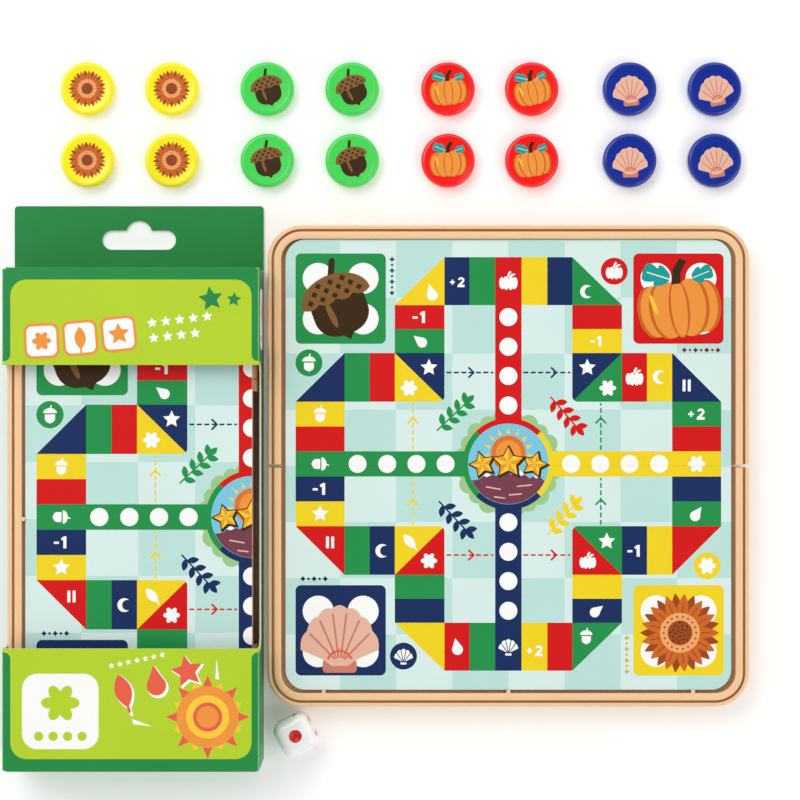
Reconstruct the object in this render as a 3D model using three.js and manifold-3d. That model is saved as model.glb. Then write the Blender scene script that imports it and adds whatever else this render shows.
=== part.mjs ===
// Pocket magnetic board game: a folding case with a printed play surface on its outer face,
// sixteen magnetic discs, one die, and the window carton with a folded case inside it.
// Millimetres, +Z up. The open case lies flat on the table, play surface up. Its fold line runs along X.
import * as THREE from "three";
import { mergeVertices } from "three/addons/utils/BufferGeometryUtils.js";
import { RoundedBoxGeometry } from "three/addons/geometries/RoundedBoxGeometry.js";
import Module from "manifold-3d";

const wasm = await Module();
wasm.setup();

// ---- driving dimensions -------------------------------------------------------------------------
// Everything below is measured from the middle of the open board; OFFSET moves it all so that the
// whole set is centred on the origin.
const OFFSET_X = 45;
const OFFSET_Y = -18.8;

const CASE_HALF = 84; // half the width of the open case, and the depth of each half
const CASE_TOP = 12.6; // top of the rail
const RIM_Z = 1.7; // lower edge of the tray walls
const HINGE_Z = 1.6; // hinge axis; the rims close to 0.2 apart
const FOLD_GAP = 0.2; // each half stops this far from the fold line
const CORNER_R = 12;
const FOLD_CORNER_R = 1.4;
const RAIL_GAP = 0.55; // the rails stop this far from the fold line
const RAIL_GAP_X = 79.1; // inner end of that gap
const LEDGE_W = 1.4; // outer ledge, then groove, then rail
const LEDGE_DROP = 0.5;
const GROOVE_W = 0.8;
const GROOVE_DEPTH = 1.1;
const RAIL_W = 2.6;
const RECESS_DEPTH = 2.0;
const CEILING_T = 1.6; // plate under the play surface
const WALL_T = 2.0;
const SPINE_T = 1.6;
const CORNER_SEGMENTS = 5;

const HINGE_X = 52; // hinge centres, left and right
const KNUCKLE_R = 1.5;
const PIN_R = 0.75;
const PIN_HOLE_R = 1.0;
const KNUCKLE_NOTCH_R = 1.85;
const MIDDLE_KNUCKLE = 3.5; // half length
const OUTER_KNUCKLE = 8.0; // from the hinge centre to the outer end
const KNUCKLE_GAP = 0.4;

const FOOT_W = 12; // locating feet, which stand the open case level and key the closed one
const FOOT_X = [-60, 36]; // on the rear half; the front half has them turned round

const SHEET_X = 77.75; // half width of both play sheets
const SHEET_FAR = { 1: 79.0, [-1]: 78.1 }; // far edge, rear and front
const SHEET_R = 7.0;
const SHEET_T = 0.3;
const PLATE_INSET = 0.3; // the steel plate is this much smaller than its sheet
const PLATE_T = 0.5;
const SEAM = 0.05; // each sheet stops this far from the fold line

const MAGNET_BAR = [14, 2.2, 2.6];

const DISC_R = 9.5;
const DISC_H = 4.5;
const DISC_MAGNET_R = 6.5;
const DISC_MAGNET_H = 1.95;
const DISC_SEGMENTS = 24;
const DISC_ROWS = [132.6, 107.4];
const DISC_COLUMNS = {
  yellow: [-147.9, -118.2],
  green: [-84.6, -54.7],
  red: [-20.9, 8.6],
  blue: [43.1, 73.0],
};

const DIE_SIDE = 13;
const DIE_AT = [-74.3, -94.2];
const DIE_TURN = 28;

const CARTON_X0 = -174;
const CARTON_X1 = -86;
const CARTON_Y0 = -104.5;
const CARTON_Y1 = 68.5;
const CARTON_Z0 = 0.7;
const CARTON_Z1 = 28.7;
const BOARD_T = 0.6;
const TAB_Y1 = 91.5;
const WINDOW_Y0 = -62;
const WINDOW_Y1 = 35;
const WINDOW_Z0 = 16.4;
const WINDOW_R = 4;
const FLAP_LIP = 6;
const FLAP_LIP_Z = 27.15;
const DUST_FLAP_W = 20;

// ---- shape helpers ------------------------------------------------------------------------------
function toSolid(geometry) {
  const g = geometry.clone();
  for (const name of Object.keys(g.attributes))
    if (name !== "position") g.deleteAttribute(name);
  const m = mergeVertices(g, 1e-4);
  return new wasm.Manifold(
    new wasm.Mesh({
      numProp: 3,
      vertProperties: m.attributes.position.array,
      triVerts: new Uint32Array(m.index.array),
    }),
  );
}

function toGeometry(manifold) {
  const mesh = manifold.getMesh();
  const g = new THREE.BufferGeometry();
  g.setAttribute(
    "position",
    new THREE.BufferAttribute(new Float32Array(mesh.vertProperties), 3),
  );
  g.setIndex(new THREE.BufferAttribute(new Uint32Array(mesh.triVerts), 1));
  const flat = g.toNonIndexed();
  flat.computeVertexNormals();
  return flat;
}

// A rectangle outline with its own radius at each corner: low-left, low-right, high-right, high-left.
function outline(x0, y0, x1, y1, radii, segments = CORNER_SEGMENTS) {
  const centres = [
    [x0, y0, 1, 1, Math.PI],
    [x1, y0, -1, 1, 1.5 * Math.PI],
    [x1, y1, -1, -1, 0],
    [x0, y1, 1, -1, 0.5 * Math.PI],
  ];
  const points = [];
  centres.forEach(([x, y, sx, sy, from], i) => {
    const r = radii[i];
    if (r <= 0) {
      points.push(new THREE.Vector2(x, y));
      return;
    }
    for (let k = 0; k <= segments; k++) {
      const a = from + (k / segments) * 0.5 * Math.PI;
      points.push(
        new THREE.Vector2(
          x + sx * r + r * Math.cos(a),
          y + sy * r + r * Math.sin(a),
        ),
      );
    }
  });
  return points;
}

function slab(points, z0, z1, holes = []) {
  const shape = new THREE.Shape(points);
  for (const h of holes) shape.holes.push(new THREE.Path(h));
  const g = new THREE.ExtrudeGeometry(shape, {
    depth: z1 - z0,
    bevelEnabled: false,
    curveSegments: 1,
  });
  g.translate(0, 0, z0);
  return toSolid(g);
}

function block(x0, x1, y0, y1, z0, z1) {
  const g = new THREE.BoxGeometry(x1 - x0, y1 - y0, z1 - z0);
  g.translate((x0 + x1) / 2, (y0 + y1) / 2, (z0 + z1) / 2);
  return toSolid(g);
}

// A round bar along X on the hinge axis.
function bar(radius, x0, x1, segments = 16) {
  const g = new THREE.CylinderGeometry(radius, radius, x1 - x0, segments);
  g.rotateZ(Math.PI / 2);
  g.translate((x0 + x1) / 2, 0, HINGE_Z);
  return toSolid(g);
}

// Outline of one case half, inset by d from the outside, running on to the fold side.
function halfOutline(d, foldY, foldR = 0) {
  return outline(
    -CASE_HALF + d,
    foldY,
    CASE_HALF - d,
    CASE_HALF - d,
    [foldR, foldR, CORNER_R - d, CORNER_R - d],
  );
}

// ---- case halves --------------------------------------------------------------------------------
// The rear half lies at +Y. The front half is the same moulding turned half a turn about Z, with the
// middle knuckles in place of the outer ones and three small lugs that hold the printed sheet.
function trayBody() {
  const ledgeTop = CASE_TOP - LEDGE_DROP;
  const grooveIn = LEDGE_W + GROOVE_W;
  const recessIn = grooveIn + RAIL_W;
  const ceiling = CASE_TOP - RECESS_DEPTH - CEILING_T;
  let body = slab(
    halfOutline(0, FOLD_GAP, FOLD_CORNER_R),
    RIM_Z,
    ledgeTop,
  );
  body = body.add(slab(halfOutline(grooveIn, FOLD_GAP), 8, CASE_TOP));
  body = body.subtract(
    slab(halfOutline(LEDGE_W, -2), CASE_TOP - GROOVE_DEPTH, CASE_TOP + 2).subtract(
      slab(halfOutline(grooveIn, -3), CASE_TOP - GROOVE_DEPTH - 1, CASE_TOP + 3),
    ),
  );
  body = body.subtract(
    slab(halfOutline(recessIn, -2), CASE_TOP - RECESS_DEPTH, CASE_TOP + 2),
  );
  body = body.subtract(
    slab(
      outline(
        -CASE_HALF + WALL_T,
        FOLD_GAP + SPINE_T,
        CASE_HALF - WALL_T,
        CASE_HALF - WALL_T,
        [1, 1, CORNER_R - WALL_T, CORNER_R - WALL_T],
      ),
      RIM_Z - 1,
      ceiling,
    ),
  );
  // the rails stand back from the fold line, which leaves a notch at each side of the open case
  for (const s of [-1, 1]) {
    const near = s > 0 ? RAIL_GAP_X : -CASE_HALF - 1;
    const far = s > 0 ? CASE_HALF + 1 : -RAIL_GAP_X;
    body = body.subtract(block(near, far, -1, RAIL_GAP, 0, CASE_TOP + 1));
  }
  // locating feet on ribs inside the far wall
  const inner = CASE_HALF - WALL_T;
  for (const x of FOOT_X) {
    body = body.add(
      block(x - FOOT_W / 2, x + FOOT_W / 2, inner - 1.8, inner + 0.5, 2.2, ceiling + 0.5),
    );
    body = body.add(
      block(x - FOOT_W / 2, x + FOOT_W / 2, inner - 1.8, inner - 0.4, 0, 3),
    );
  }
  // boss and pocket for the closing magnet
  body = body.add(block(-9, 9, inner - 4.6, inner + 0.5, RIM_Z, 6));
  body = body.subtract(
    block(-7.3, 7.3, inner - 3.4, inner - 0.6, RIM_Z - 1, 5),
  );
  return body;
}

function rearTray() {
  let body = trayBody();
  for (const s of [-1, 1]) {
    const x = s * HINGE_X;
    body = body.subtract(
      bar(KNUCKLE_NOTCH_R, x - MIDDLE_KNUCKLE - KNUCKLE_GAP, x + MIDDLE_KNUCKLE + KNUCKLE_GAP),
    );
    body = body.add(
      bar(KNUCKLE_R, x - OUTER_KNUCKLE, x - MIDDLE_KNUCKLE - KNUCKLE_GAP),
    );
    body = body.add(
      bar(KNUCKLE_R, x + MIDDLE_KNUCKLE + KNUCKLE_GAP, x + OUTER_KNUCKLE),
    );
    body = body.subtract(bar(PIN_HOLE_R, x - 9.5, x + 9.5, 12));
  }
  return toGeometry(body);
}

function frontTray() {
  // trayBody() turned half a turn about Z
  const turned = toGeometry(trayBody());
  turned.rotateZ(Math.PI);
  let body = toSolid(turned);
  for (const s of [-1, 1]) {
    const x = s * HINGE_X;
    body = body.subtract(
      bar(KNUCKLE_NOTCH_R, x - OUTER_KNUCKLE - KNUCKLE_GAP, x - MIDDLE_KNUCKLE),
    );
    body = body.subtract(
      bar(KNUCKLE_NOTCH_R, x + MIDDLE_KNUCKLE, x + OUTER_KNUCKLE + KNUCKLE_GAP),
    );
    body = body.add(bar(KNUCKLE_R, x - MIDDLE_KNUCKLE, x + MIDDLE_KNUCKLE));
    body = body.subtract(bar(PIN_HOLE_R, x - 9.5, x + 9.5, 12));
  }
  const wall = -(CASE_HALF - LEDGE_W - GROOVE_W - RAIL_W);
  for (const x of [-64.4, 0, 64.4])
    body = body.add(block(x - 0.7, x + 0.7, wall - 0.4, wall + 1.1, 11.75, 12.25));
  return toGeometry(body);
}

function sheet(inset, z0, z1, side) {
  const x = SHEET_X - inset;
  const far = SHEET_FAR[side] - inset;
  const near = SEAM + inset * 0.5;
  const r = SHEET_R - inset;
  const pts =
    side > 0
      ? outline(-x, near, x, far, [0, 0, r, r])
      : outline(-x, -far, x, -near, [r, r, 0, 0]);
  return toGeometry(slab(pts, z0, z1));
}

const plateZ = CASE_TOP - RECESS_DEPTH + 0.1;
const sheetZ = plateZ + PLATE_T + 0.1;

function closingMagnet(side) {
  const [w, d, h] = MAGNET_BAR;
  const g = new THREE.BoxGeometry(w, d, h);
  g.translate(0, side * (CASE_HALF - WALL_T - 2.0), RIM_Z + 0.3 + h / 2);
  return g;
}

function hingePin(x) {
  const g = new THREE.CylinderGeometry(PIN_R, PIN_R, 15.4, 12);
  g.rotateZ(Math.PI / 2);
  g.translate(x, 0, HINGE_Z);
  return g;
}

// ---- discs and die ------------------------------------------------------------------------------
function discBody() {
  const profile = [
    [0, 2.4],
    [DISC_MAGNET_R + 0.3, 2.4],
    [DISC_MAGNET_R + 0.3, 0],
    [DISC_R - 0.5, 0],
    [DISC_R, 0.5],
    [DISC_R, DISC_H - 1.1],
    [DISC_R - 0.35, DISC_H - 0.35],
    [DISC_R - 1.2, DISC_H],
    [0, DISC_H],
  ].map(([r, z]) => new THREE.Vector2(r, z));
  const g = new THREE.LatheGeometry(profile, DISC_SEGMENTS);
  g.rotateX(Math.PI / 2);
  return g;
}

function discMagnet() {
  const g = new THREE.CylinderGeometry(DISC_MAGNET_R, DISC_MAGNET_R, DISC_MAGNET_H, 16);
  g.rotateX(Math.PI / 2);
  g.translate(0, 0, 0.15 + DISC_MAGNET_H / 2);
  return g;
}

// ---- carton -------------------------------------------------------------------------------------
function cartonSleeve() {
  const y0 = CARTON_Y0 + 0.7;
  const y1 = CARTON_Y1 - 0.7;
  let body = block(CARTON_X0, CARTON_X1, y0, y1, CARTON_Z0, CARTON_Z1);
  body = body.subtract(
    block(
      CARTON_X0 + BOARD_T,
      CARTON_X1 - BOARD_T,
      y0 - 5,
      y1 + 5,
      CARTON_Z0 + BOARD_T,
      CARTON_Z1 - BOARD_T,
    ),
  );
  // the window wraps round the front and both sides
  const cut = outline(WINDOW_Y0, WINDOW_Z0, WINDOW_Y1, 40, [WINDOW_R, WINDOW_R, 0, 0], 4);
  const g = new THREE.ExtrudeGeometry(new THREE.Shape(cut), {
    depth: CARTON_X1 - CARTON_X0 + 10,
    bevelEnabled: false,
  });
  // the outline lies in (y, z): x of the shape goes to +Y, y of the shape to +Z
  g.applyMatrix4(
    new THREE.Matrix4().set(0, 0, 1, CARTON_X0 - 5, 1, 0, 0, 0, 0, 1, 0, 0, 0, 0, 0, 1),
  );
  body = body.subtract(toSolid(g));
  // dust flaps, folded in from the sides at both ends
  for (const [ya, yb] of [
    [CARTON_Y1 - 1.6, CARTON_Y1 - 1.0],
    [CARTON_Y0 + 1.0, CARTON_Y0 + 1.6],
  ]) {
    body = body.add(
      block(CARTON_X0 + 0.3, CARTON_X0 + BOARD_T + DUST_FLAP_W, ya, yb, 1.6, 26),
    );
    body = body.add(
      block(CARTON_X1 - BOARD_T - DUST_FLAP_W, CARTON_X1 - 0.3, ya, yb, 1.6, 26),
    );
  }
  return toGeometry(body);
}

function hangPanel() {
  const cx = (CARTON_X0 + CARTON_X1) / 2;
  const cy = (CARTON_Y1 + TAB_Y1) / 2 - 0.5;
  const slot = [];
  const r = 3.4;
  const half = 13 - r;
  const bump = 4.6;
  const rise = 2.2;
  // lower edge and right end
  for (let k = 0; k <= 8; k++) {
    const a = -Math.PI / 2 + (k / 8) * Math.PI;
    slot.push(new THREE.Vector2(cx + half + r * Math.cos(a), cy + r * Math.sin(a)));
  }
  // bump over the middle
  const a0 = Math.asin((r - rise) / bump);
  for (let k = 0; k <= 8; k++) {
    const a = a0 + (k / 8) * (Math.PI - 2 * a0);
    slot.push(
      new THREE.Vector2(cx + bump * Math.cos(a), cy + rise + bump * Math.sin(a)),
    );
  }
  // left end
  for (let k = 0; k <= 8; k++) {
    const a = Math.PI / 2 + (k / 8) * Math.PI;
    slot.push(new THREE.Vector2(cx - half + r * Math.cos(a), cy + r * Math.sin(a)));
  }
  return toGeometry(
    slab(
      outline(CARTON_X0, CARTON_Y0 + 0.7, CARTON_X1, TAB_Y1, [0, 0, 0.8, 0.8], 2),
      0,
      BOARD_T,
      [slot],
    ),
  );
}

function endFlap(side) {
  const end = side > 0 ? CARTON_Y1 : CARTON_Y0;
  const inner = end - side * BOARD_T;
  const x0 = CARTON_X0 + 0.7;
  const x1 = CARTON_X1 - 0.7;
  const plate = block(x0, x1, Math.min(end, inner), Math.max(end, inner), 0.9, FLAP_LIP_Z);
  const far = inner - side * FLAP_LIP;
  const near = inner + side * 0.3;
  const pts =
    side > 0
      ? outline(x0 + 0.7, far, x1 - 0.7, near, [3, 3, 0, 0], 3)
      : outline(x0 + 0.7, near, x1 - 0.7, far, [0, 0, 3, 3], 3);
  return toGeometry(plate.add(slab(pts, FLAP_LIP_Z - BOARD_T, FLAP_LIP_Z)));
}

// ---- materials ----------------------------------------------------------------------------------
const colour = (r, g, b) => new THREE.Color().setRGB(r / 255, g / 255, b / 255, THREE.SRGBColorSpace);
const material = (rgb, roughness, metalness = 0) =>
  new THREE.MeshStandardMaterial({ color: colour(...rgb), roughness, metalness });
const MATERIAL = {
  tray: material([243, 202, 158], 0.42),
  sheet: material([204, 231, 226], 0.35),
  steel: material([170, 172, 175], 0.35, 0.9),
  pin: material([190, 190, 192], 0.25, 1),
  magnet: material([70, 70, 74], 0.55, 0.4),
  die: material([246, 246, 242], 0.25),
  carton: material([33, 130, 64], 0.5),
  yellow: material([253, 236, 40], 0.35),
  green: material([84, 222, 92], 0.35),
  red: material([250, 38, 38], 0.35),
  blue: material([26, 52, 152], 0.35),
};

const root = new THREE.Group();
root.position.set(OFFSET_X, OFFSET_Y, 0);

function put(parent, name, geometry, mat, place) {
  const mesh = new THREE.Mesh(geometry, mat);
  mesh.name = name;
  if (place) mesh.position.set(...place);
  parent.add(mesh);
  return mesh;
}

// ---- the open case ------------------------------------------------------------------------------
const rearTrayGeometry = rearTray();
const frontTrayGeometry = frontTray();
put(root, "rear_tray", rearTrayGeometry, MATERIAL.tray);
put(root, "front_tray", frontTrayGeometry, MATERIAL.tray);
put(root, "rear_steel_plate", sheet(PLATE_INSET, plateZ, plateZ + PLATE_T, 1), MATERIAL.steel);
put(root, "front_steel_plate", sheet(PLATE_INSET, plateZ, plateZ + PLATE_T, -1), MATERIAL.steel);
put(root, "rear_play_sheet", sheet(0, sheetZ, sheetZ + SHEET_T, 1), MATERIAL.sheet);
put(root, "front_play_sheet", sheet(0, sheetZ, sheetZ + SHEET_T, -1), MATERIAL.sheet);
put(root, "hinge_pin_left", hingePin(-HINGE_X), MATERIAL.pin);
put(root, "hinge_pin_right", hingePin(HINGE_X), MATERIAL.pin);
put(root, "rear_closing_magnet", closingMagnet(1), MATERIAL.magnet);
put(root, "front_closing_magnet", closingMagnet(-1), MATERIAL.magnet);

// ---- discs --------------------------------------------------------------------------------------
const discGeometry = discBody();
const magnetGeometry = discMagnet();
for (const [name, columns] of Object.entries(DISC_COLUMNS)) {
  let n = 0;
  for (const y of DISC_ROWS)
    for (const x of columns) {
      n += 1;
      put(root, `disc_${name}_${n}`, discGeometry, MATERIAL[name], [x, y, 0]);
      put(root, `disc_magnet_${name}_${n}`, magnetGeometry, MATERIAL.magnet, [x, y, 0]);
    }
}

// ---- die ----------------------------------------------------------------------------------------
const die = put(
  root,
  "die",
  new RoundedBoxGeometry(DIE_SIDE, DIE_SIDE, DIE_SIDE, 2, 2.6),
  MATERIAL.die,
  [DIE_AT[0], DIE_AT[1], DIE_SIDE / 2],
);
die.rotation.z = THREE.MathUtils.degToRad(DIE_TURN);

// ---- carton -------------------------------------------------------------------------------------
put(root, "carton_sleeve", cartonSleeve(), MATERIAL.carton);
put(root, "carton_hang_panel", hangPanel(), MATERIAL.carton);
put(root, "carton_top_flap", endFlap(1), MATERIAL.carton);
put(root, "carton_bottom_flap", endFlap(-1), MATERIAL.carton);

// the folded case inside it: the front half's printed face looks out of the window
const boxed = new THREE.Group();
boxed.rotation.z = -Math.PI / 2;
boxed.position.set(-88.75, (CARTON_Y0 + CARTON_Y1) / 2, 11.2);
root.add(boxed);
const plateAndSheet = (side) =>
  sheet(0, plateZ, sheetZ + SHEET_T, side);
put(boxed, "boxed_front_tray", frontTrayGeometry, MATERIAL.tray);
put(boxed, "boxed_front_play_plate", plateAndSheet(-1), MATERIAL.sheet);
put(boxed, "boxed_hinge_pin_upper", hingePin(-HINGE_X), MATERIAL.pin);
put(boxed, "boxed_hinge_pin_lower", hingePin(HINGE_X), MATERIAL.pin);
const folded = new THREE.Group();
folded.rotation.x = Math.PI;
folded.position.z = 2 * HINGE_Z;
boxed.add(folded);
put(folded, "boxed_rear_tray", rearTrayGeometry, MATERIAL.tray);
put(folded, "boxed_rear_play_plate", plateAndSheet(1), MATERIAL.sheet);

export default root;
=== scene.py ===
import math

import bmesh
import bpy
from mathutils import Matrix, Vector
from mathutils.geometry import delaunay_2d_cdt


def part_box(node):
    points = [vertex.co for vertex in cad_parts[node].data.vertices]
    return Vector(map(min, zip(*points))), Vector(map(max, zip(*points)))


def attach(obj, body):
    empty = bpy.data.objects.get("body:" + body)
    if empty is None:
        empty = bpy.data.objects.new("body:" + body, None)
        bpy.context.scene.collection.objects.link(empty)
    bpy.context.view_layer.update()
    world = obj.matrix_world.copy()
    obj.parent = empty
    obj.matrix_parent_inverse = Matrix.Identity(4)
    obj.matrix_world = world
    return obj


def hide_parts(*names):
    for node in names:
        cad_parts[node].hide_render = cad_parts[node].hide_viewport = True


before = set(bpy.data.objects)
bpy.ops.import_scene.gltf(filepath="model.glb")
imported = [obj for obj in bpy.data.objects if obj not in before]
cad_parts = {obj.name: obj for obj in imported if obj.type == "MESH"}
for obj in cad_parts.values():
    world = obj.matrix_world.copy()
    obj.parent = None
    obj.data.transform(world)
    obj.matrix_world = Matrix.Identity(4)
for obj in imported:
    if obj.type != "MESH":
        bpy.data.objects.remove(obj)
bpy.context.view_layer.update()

MM = 0.001
OX, OY = 45.0, -18.8  # the middle of the open board, seen from the row's origin
S = 168.0 / 482.0  # board artwork units to millimetres

# ---- sizes, as in the model ---------------------------------------------------------------------
CASE = 84.0
TOP = 12.6
RIM = 1.7
HINGE_Z = 1.6
GAP = 0.2
CORNER = 12.0
SHEET_X = 77.75
SHEET_REAR, SHEET_FRONT = 79.0, 78.1
SHEET_R = 7.0
SEAM = 0.02
SHEET_Z0, SHEET_Z1 = 11.3, 11.6
PLATE_Z0 = 10.7
CX0, CX1, CY0, CY1, CZ0, CZ1 = -174.0, -86.0, -104.5, 68.5, 0.7, 28.7
TAB_Y = 91.5
WINDOW = (-62.0, 35.0, 16.4, 4.0)
BOXED = (-88.75, -18.0, 11.2)

# =================================================================================================
# Materials
# =================================================================================================


def lin(c):
    c = c / 255.0
    return c / 12.92 if c <= 0.04045 else ((c + 0.055) / 1.055) ** 2.4


def rgb(r, g, b):
    return (lin(r), lin(g), lin(b), 1.0)


MATS = {}


def material(
    name,
    colour,
    rough=0.35,
    vary=0.04,
    scale=60.0,
    fine=900.0,
    bump=0.02,
    coat=0.0,
    coat_rough=0.1,
    metal=0.0,
    rough_vary=0.08,
    sss=0.0,
    stretch=None,
    second=None,
    spec=0.5,
):
    """A principled surface: colour drift at two scales, uneven gloss and a fine bump."""
    if name in MATS:
        return MATS[name]
    m = bpy.data.materials.new(name)
    m.use_nodes = True
    nt = m.node_tree
    b = nt.nodes["Principled BSDF"]
    b.inputs["Metallic"].default_value = metal
    b.inputs["Specular IOR Level"].default_value = spec
    if coat:
        b.inputs["Coat Weight"].default_value = coat
        b.inputs["Coat Roughness"].default_value = coat_rough
    if sss:
        b.inputs["Subsurface Weight"].default_value = sss
        b.inputs["Subsurface Radius"].default_value = (1.0, 0.6, 0.4)
        b.inputs["Subsurface Scale"].default_value = 0.0015
    tc = nt.nodes.new("ShaderNodeTexCoord")
    mp = nt.nodes.new("ShaderNodeMapping")
    if stretch:
        mp.inputs["Scale"].default_value = stretch
    nt.links.new(tc.outputs["Object"], mp.inputs["Vector"])
    n1 = nt.nodes.new("ShaderNodeTexNoise")
    n1.inputs["Scale"].default_value = scale
    n1.inputs["Detail"].default_value = 4.0
    n2 = nt.nodes.new("ShaderNodeTexNoise")
    n2.inputs["Scale"].default_value = fine
    n2.inputs["Detail"].default_value = 3.0
    nt.links.new(mp.outputs["Vector"], n1.inputs["Vector"])
    nt.links.new(mp.outputs["Vector"], n2.inputs["Vector"])
    dark = tuple(max(0.0, c * (1 - vary)) for c in colour[:3]) + (1.0,)
    light = tuple(min(1.0, c * (1 + vary)) for c in colour[:3]) + (1.0,)
    if second:
        dark = second
    ramp = nt.nodes.new("ShaderNodeValToRGB")
    ramp.color_ramp.elements[0].position = 0.3
    ramp.color_ramp.elements[0].color = dark
    ramp.color_ramp.elements[1].position = 0.7
    ramp.color_ramp.elements[1].color = light
    mix = nt.nodes.new("ShaderNodeMath")
    mix.operation = "MULTIPLY_ADD"
    mix.inputs[1].default_value = 0.35
    nt.links.new(n2.outputs["Fac"], mix.inputs[0])
    half = nt.nodes.new("ShaderNodeMath")
    half.operation = "MULTIPLY"
    half.inputs[1].default_value = 0.65
    nt.links.new(n1.outputs["Fac"], half.inputs[0])
    nt.links.new(half.outputs[0], mix.inputs[2])
    nt.links.new(mix.outputs[0], ramp.inputs["Fac"])
    nt.links.new(ramp.outputs["Color"], b.inputs["Base Color"])
    rr = nt.nodes.new("ShaderNodeMapRange")
    rr.inputs["To Min"].default_value = max(0.02, rough - rough_vary)
    rr.inputs["To Max"].default_value = min(1.0, rough + rough_vary)
    nt.links.new(n1.outputs["Fac"], rr.inputs["Value"])
    nt.links.new(rr.outputs["Result"], b.inputs["Roughness"])
    bp = nt.nodes.new("ShaderNodeBump")
    bp.inputs["Strength"].default_value = min(1.0, bump * 10)
    bp.inputs["Distance"].default_value = 0.00004
    nt.links.new(n2.outputs["Fac"], bp.inputs["Height"])
    nt.links.new(bp.outputs["Normal"], b.inputs["Normal"])
    MATS[name] = m
    return m


PRINT = {
    "aqua_dark": (189, 226, 218),
    "aqua_light": (217, 238, 233),
    "green": (35, 146, 74),
    "red": (214, 20, 22),
    "yellow": (243, 213, 32),
    "navy": (23, 45, 94),
    "white": (251, 252, 249),
    "ivory": (246, 244, 226),
    "brown": (58, 38, 14),
    "brown_light": (132, 92, 46),
    "orange": (240, 150, 62),
    "orange_dark": (205, 104, 30),
    "teal": (26, 157, 152),
    "pink": (233, 183, 160),
    "pink_dark": (205, 128, 106),
    "coral": (232, 96, 72),
    "mane": (208, 104, 36),
    "rust": (158, 70, 26),
    "face": (242, 168, 104),
    "sky": (124, 199, 223),
    "sun": (228, 116, 36),
    "gold": (250, 204, 60),
    "amber": (232, 158, 38),
    "gold_dim": (216, 186, 44),
    "green_deep": (26, 92, 52),
    "red_deep": (122, 32, 28),
    "navy_deep": (14, 32, 60),
    "maroon": (119, 62, 80),
    "bush": (156, 201, 136),
    "lime": (181, 211, 45),
    "carton_green": (35, 139, 69),
    "carton_line": (150, 205, 150),
    "black": (28, 26, 26),
}


def ink(key, board=False):
    """Printed ink. The case's sheet is laminated plastic, the carton's is varnished board."""
    c = rgb(*PRINT[key])
    if board:
        return material(
            "board_" + key, c, rough=0.45, vary=0.035, scale=35, fine=1500, bump=0.03,
            coat=0.08, coat_rough=0.25, rough_vary=0.06, spec=0.22,
        )
    return material(
        "ink_" + key, c, rough=0.4, vary=0.025, scale=45, fine=2200, bump=0.012,
        coat=0.08, coat_rough=0.18, rough_vary=0.05, spec=0.2,
    )


TRAY = material(
    "tray_plastic", rgb(246, 201, 155), rough=0.42, vary=0.03, scale=28, fine=1400,
    bump=0.03, coat=0.08, coat_rough=0.2, sss=0.06, spec=0.35,
)
# painted shade: a darker tan for the groove and its walls, the recess floor and the rail's lower inner wall, standing
# in for the shade that falls there
TRAY_PAINTED_SHADE = material(
    "tray_plastic_painted_shade", rgb(176, 130, 88), rough=0.55, vary=0.08, scale=60, fine=1400, bump=0.04,
)
STEEL = material(
    "steel_plate", rgb(186, 188, 190), rough=0.34, vary=0.08, scale=40, fine=900, bump=0.05,
    metal=1.0, stretch=(1.0, 14.0, 1.0),
)
PIN = material(
    "hinge_pin", rgb(205, 205, 208), rough=0.22, vary=0.05, scale=80, fine=2000, bump=0.03,
    metal=1.0, stretch=(0.3, 6.0, 6.0),
)
MAGNET = material(
    "ferrite_magnet", rgb(62, 60, 62), rough=0.6, vary=0.18, scale=140, fine=3000, bump=0.12,
    rough_vary=0.12,
)
CORE = material(
    "board_core", rgb(226, 220, 208), rough=0.8, vary=0.06, scale=120, fine=2600, bump=0.1,
)
DISC = {
    "yellow": material("disc_yellow", rgb(255, 240, 22), spec=0.35, rough=0.24, rough_vary=0.05, vary=0.02, scale=40, fine=1500, bump=0.008, coat=0.5, coat_rough=0.06, sss=0.06),
    "green": material("disc_green", rgb(72, 218, 88), spec=0.35, rough=0.24, rough_vary=0.05, vary=0.02, scale=40, fine=1500, bump=0.008, coat=0.5, coat_rough=0.06, sss=0.06),
    "red": material("disc_red", rgb(250, 22, 18), spec=0.35, rough=0.24, rough_vary=0.05, vary=0.02, scale=40, fine=1500, bump=0.008, coat=0.5, coat_rough=0.06, sss=0.06),
    "blue": material("disc_blue", rgb(14, 44, 150), spec=0.35, rough=0.24, rough_vary=0.05, vary=0.03, scale=40, fine=1500, bump=0.008, coat=0.5, coat_rough=0.06),
}
DIE = material("die_plastic", rgb(250, 250, 248), rough=0.22, vary=0.015, scale=60, fine=1800, bump=0.01, coat=0.5, coat_rough=0.08, sss=0.1)
PIP_BLACK = material("pip_black", rgb(24, 22, 24), rough=0.35, vary=0.1, scale=200, fine=2000, bump=0.03)
PIP_RED = material("pip_red", rgb(208, 16, 26), rough=0.35, vary=0.06, scale=200, fine=2000, bump=0.03)

# =================================================================================================
# Plane shapes
# =================================================================================================


def rect(x0, y0, x1, y1):
    return [(x0, y0), (x1, y0), (x1, y1), (x0, y1)]


def rrect(x0, y0, x1, y1, radii, n=8):
    """Corner radii: low-left, low-right, high-right, high-left."""
    if not isinstance(radii, (list, tuple)):
        radii = [radii] * 4
    out = []
    for (cx, cy, sx, sy, a0), r in zip(
        [
            (x0, y0, 1, 1, math.pi),
            (x1, y0, -1, 1, 1.5 * math.pi),
            (x1, y1, -1, -1, 0.0),
            (x0, y1, 1, -1, 0.5 * math.pi),
        ],
        radii,
    ):
        if r <= 0:
            out.append((cx, cy))
            continue
        for k in range(n + 1):
            a = a0 + k / n * 0.5 * math.pi
            out.append((cx + sx * r + r * math.cos(a), cy + sy * r + r * math.sin(a)))
    return out


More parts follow.
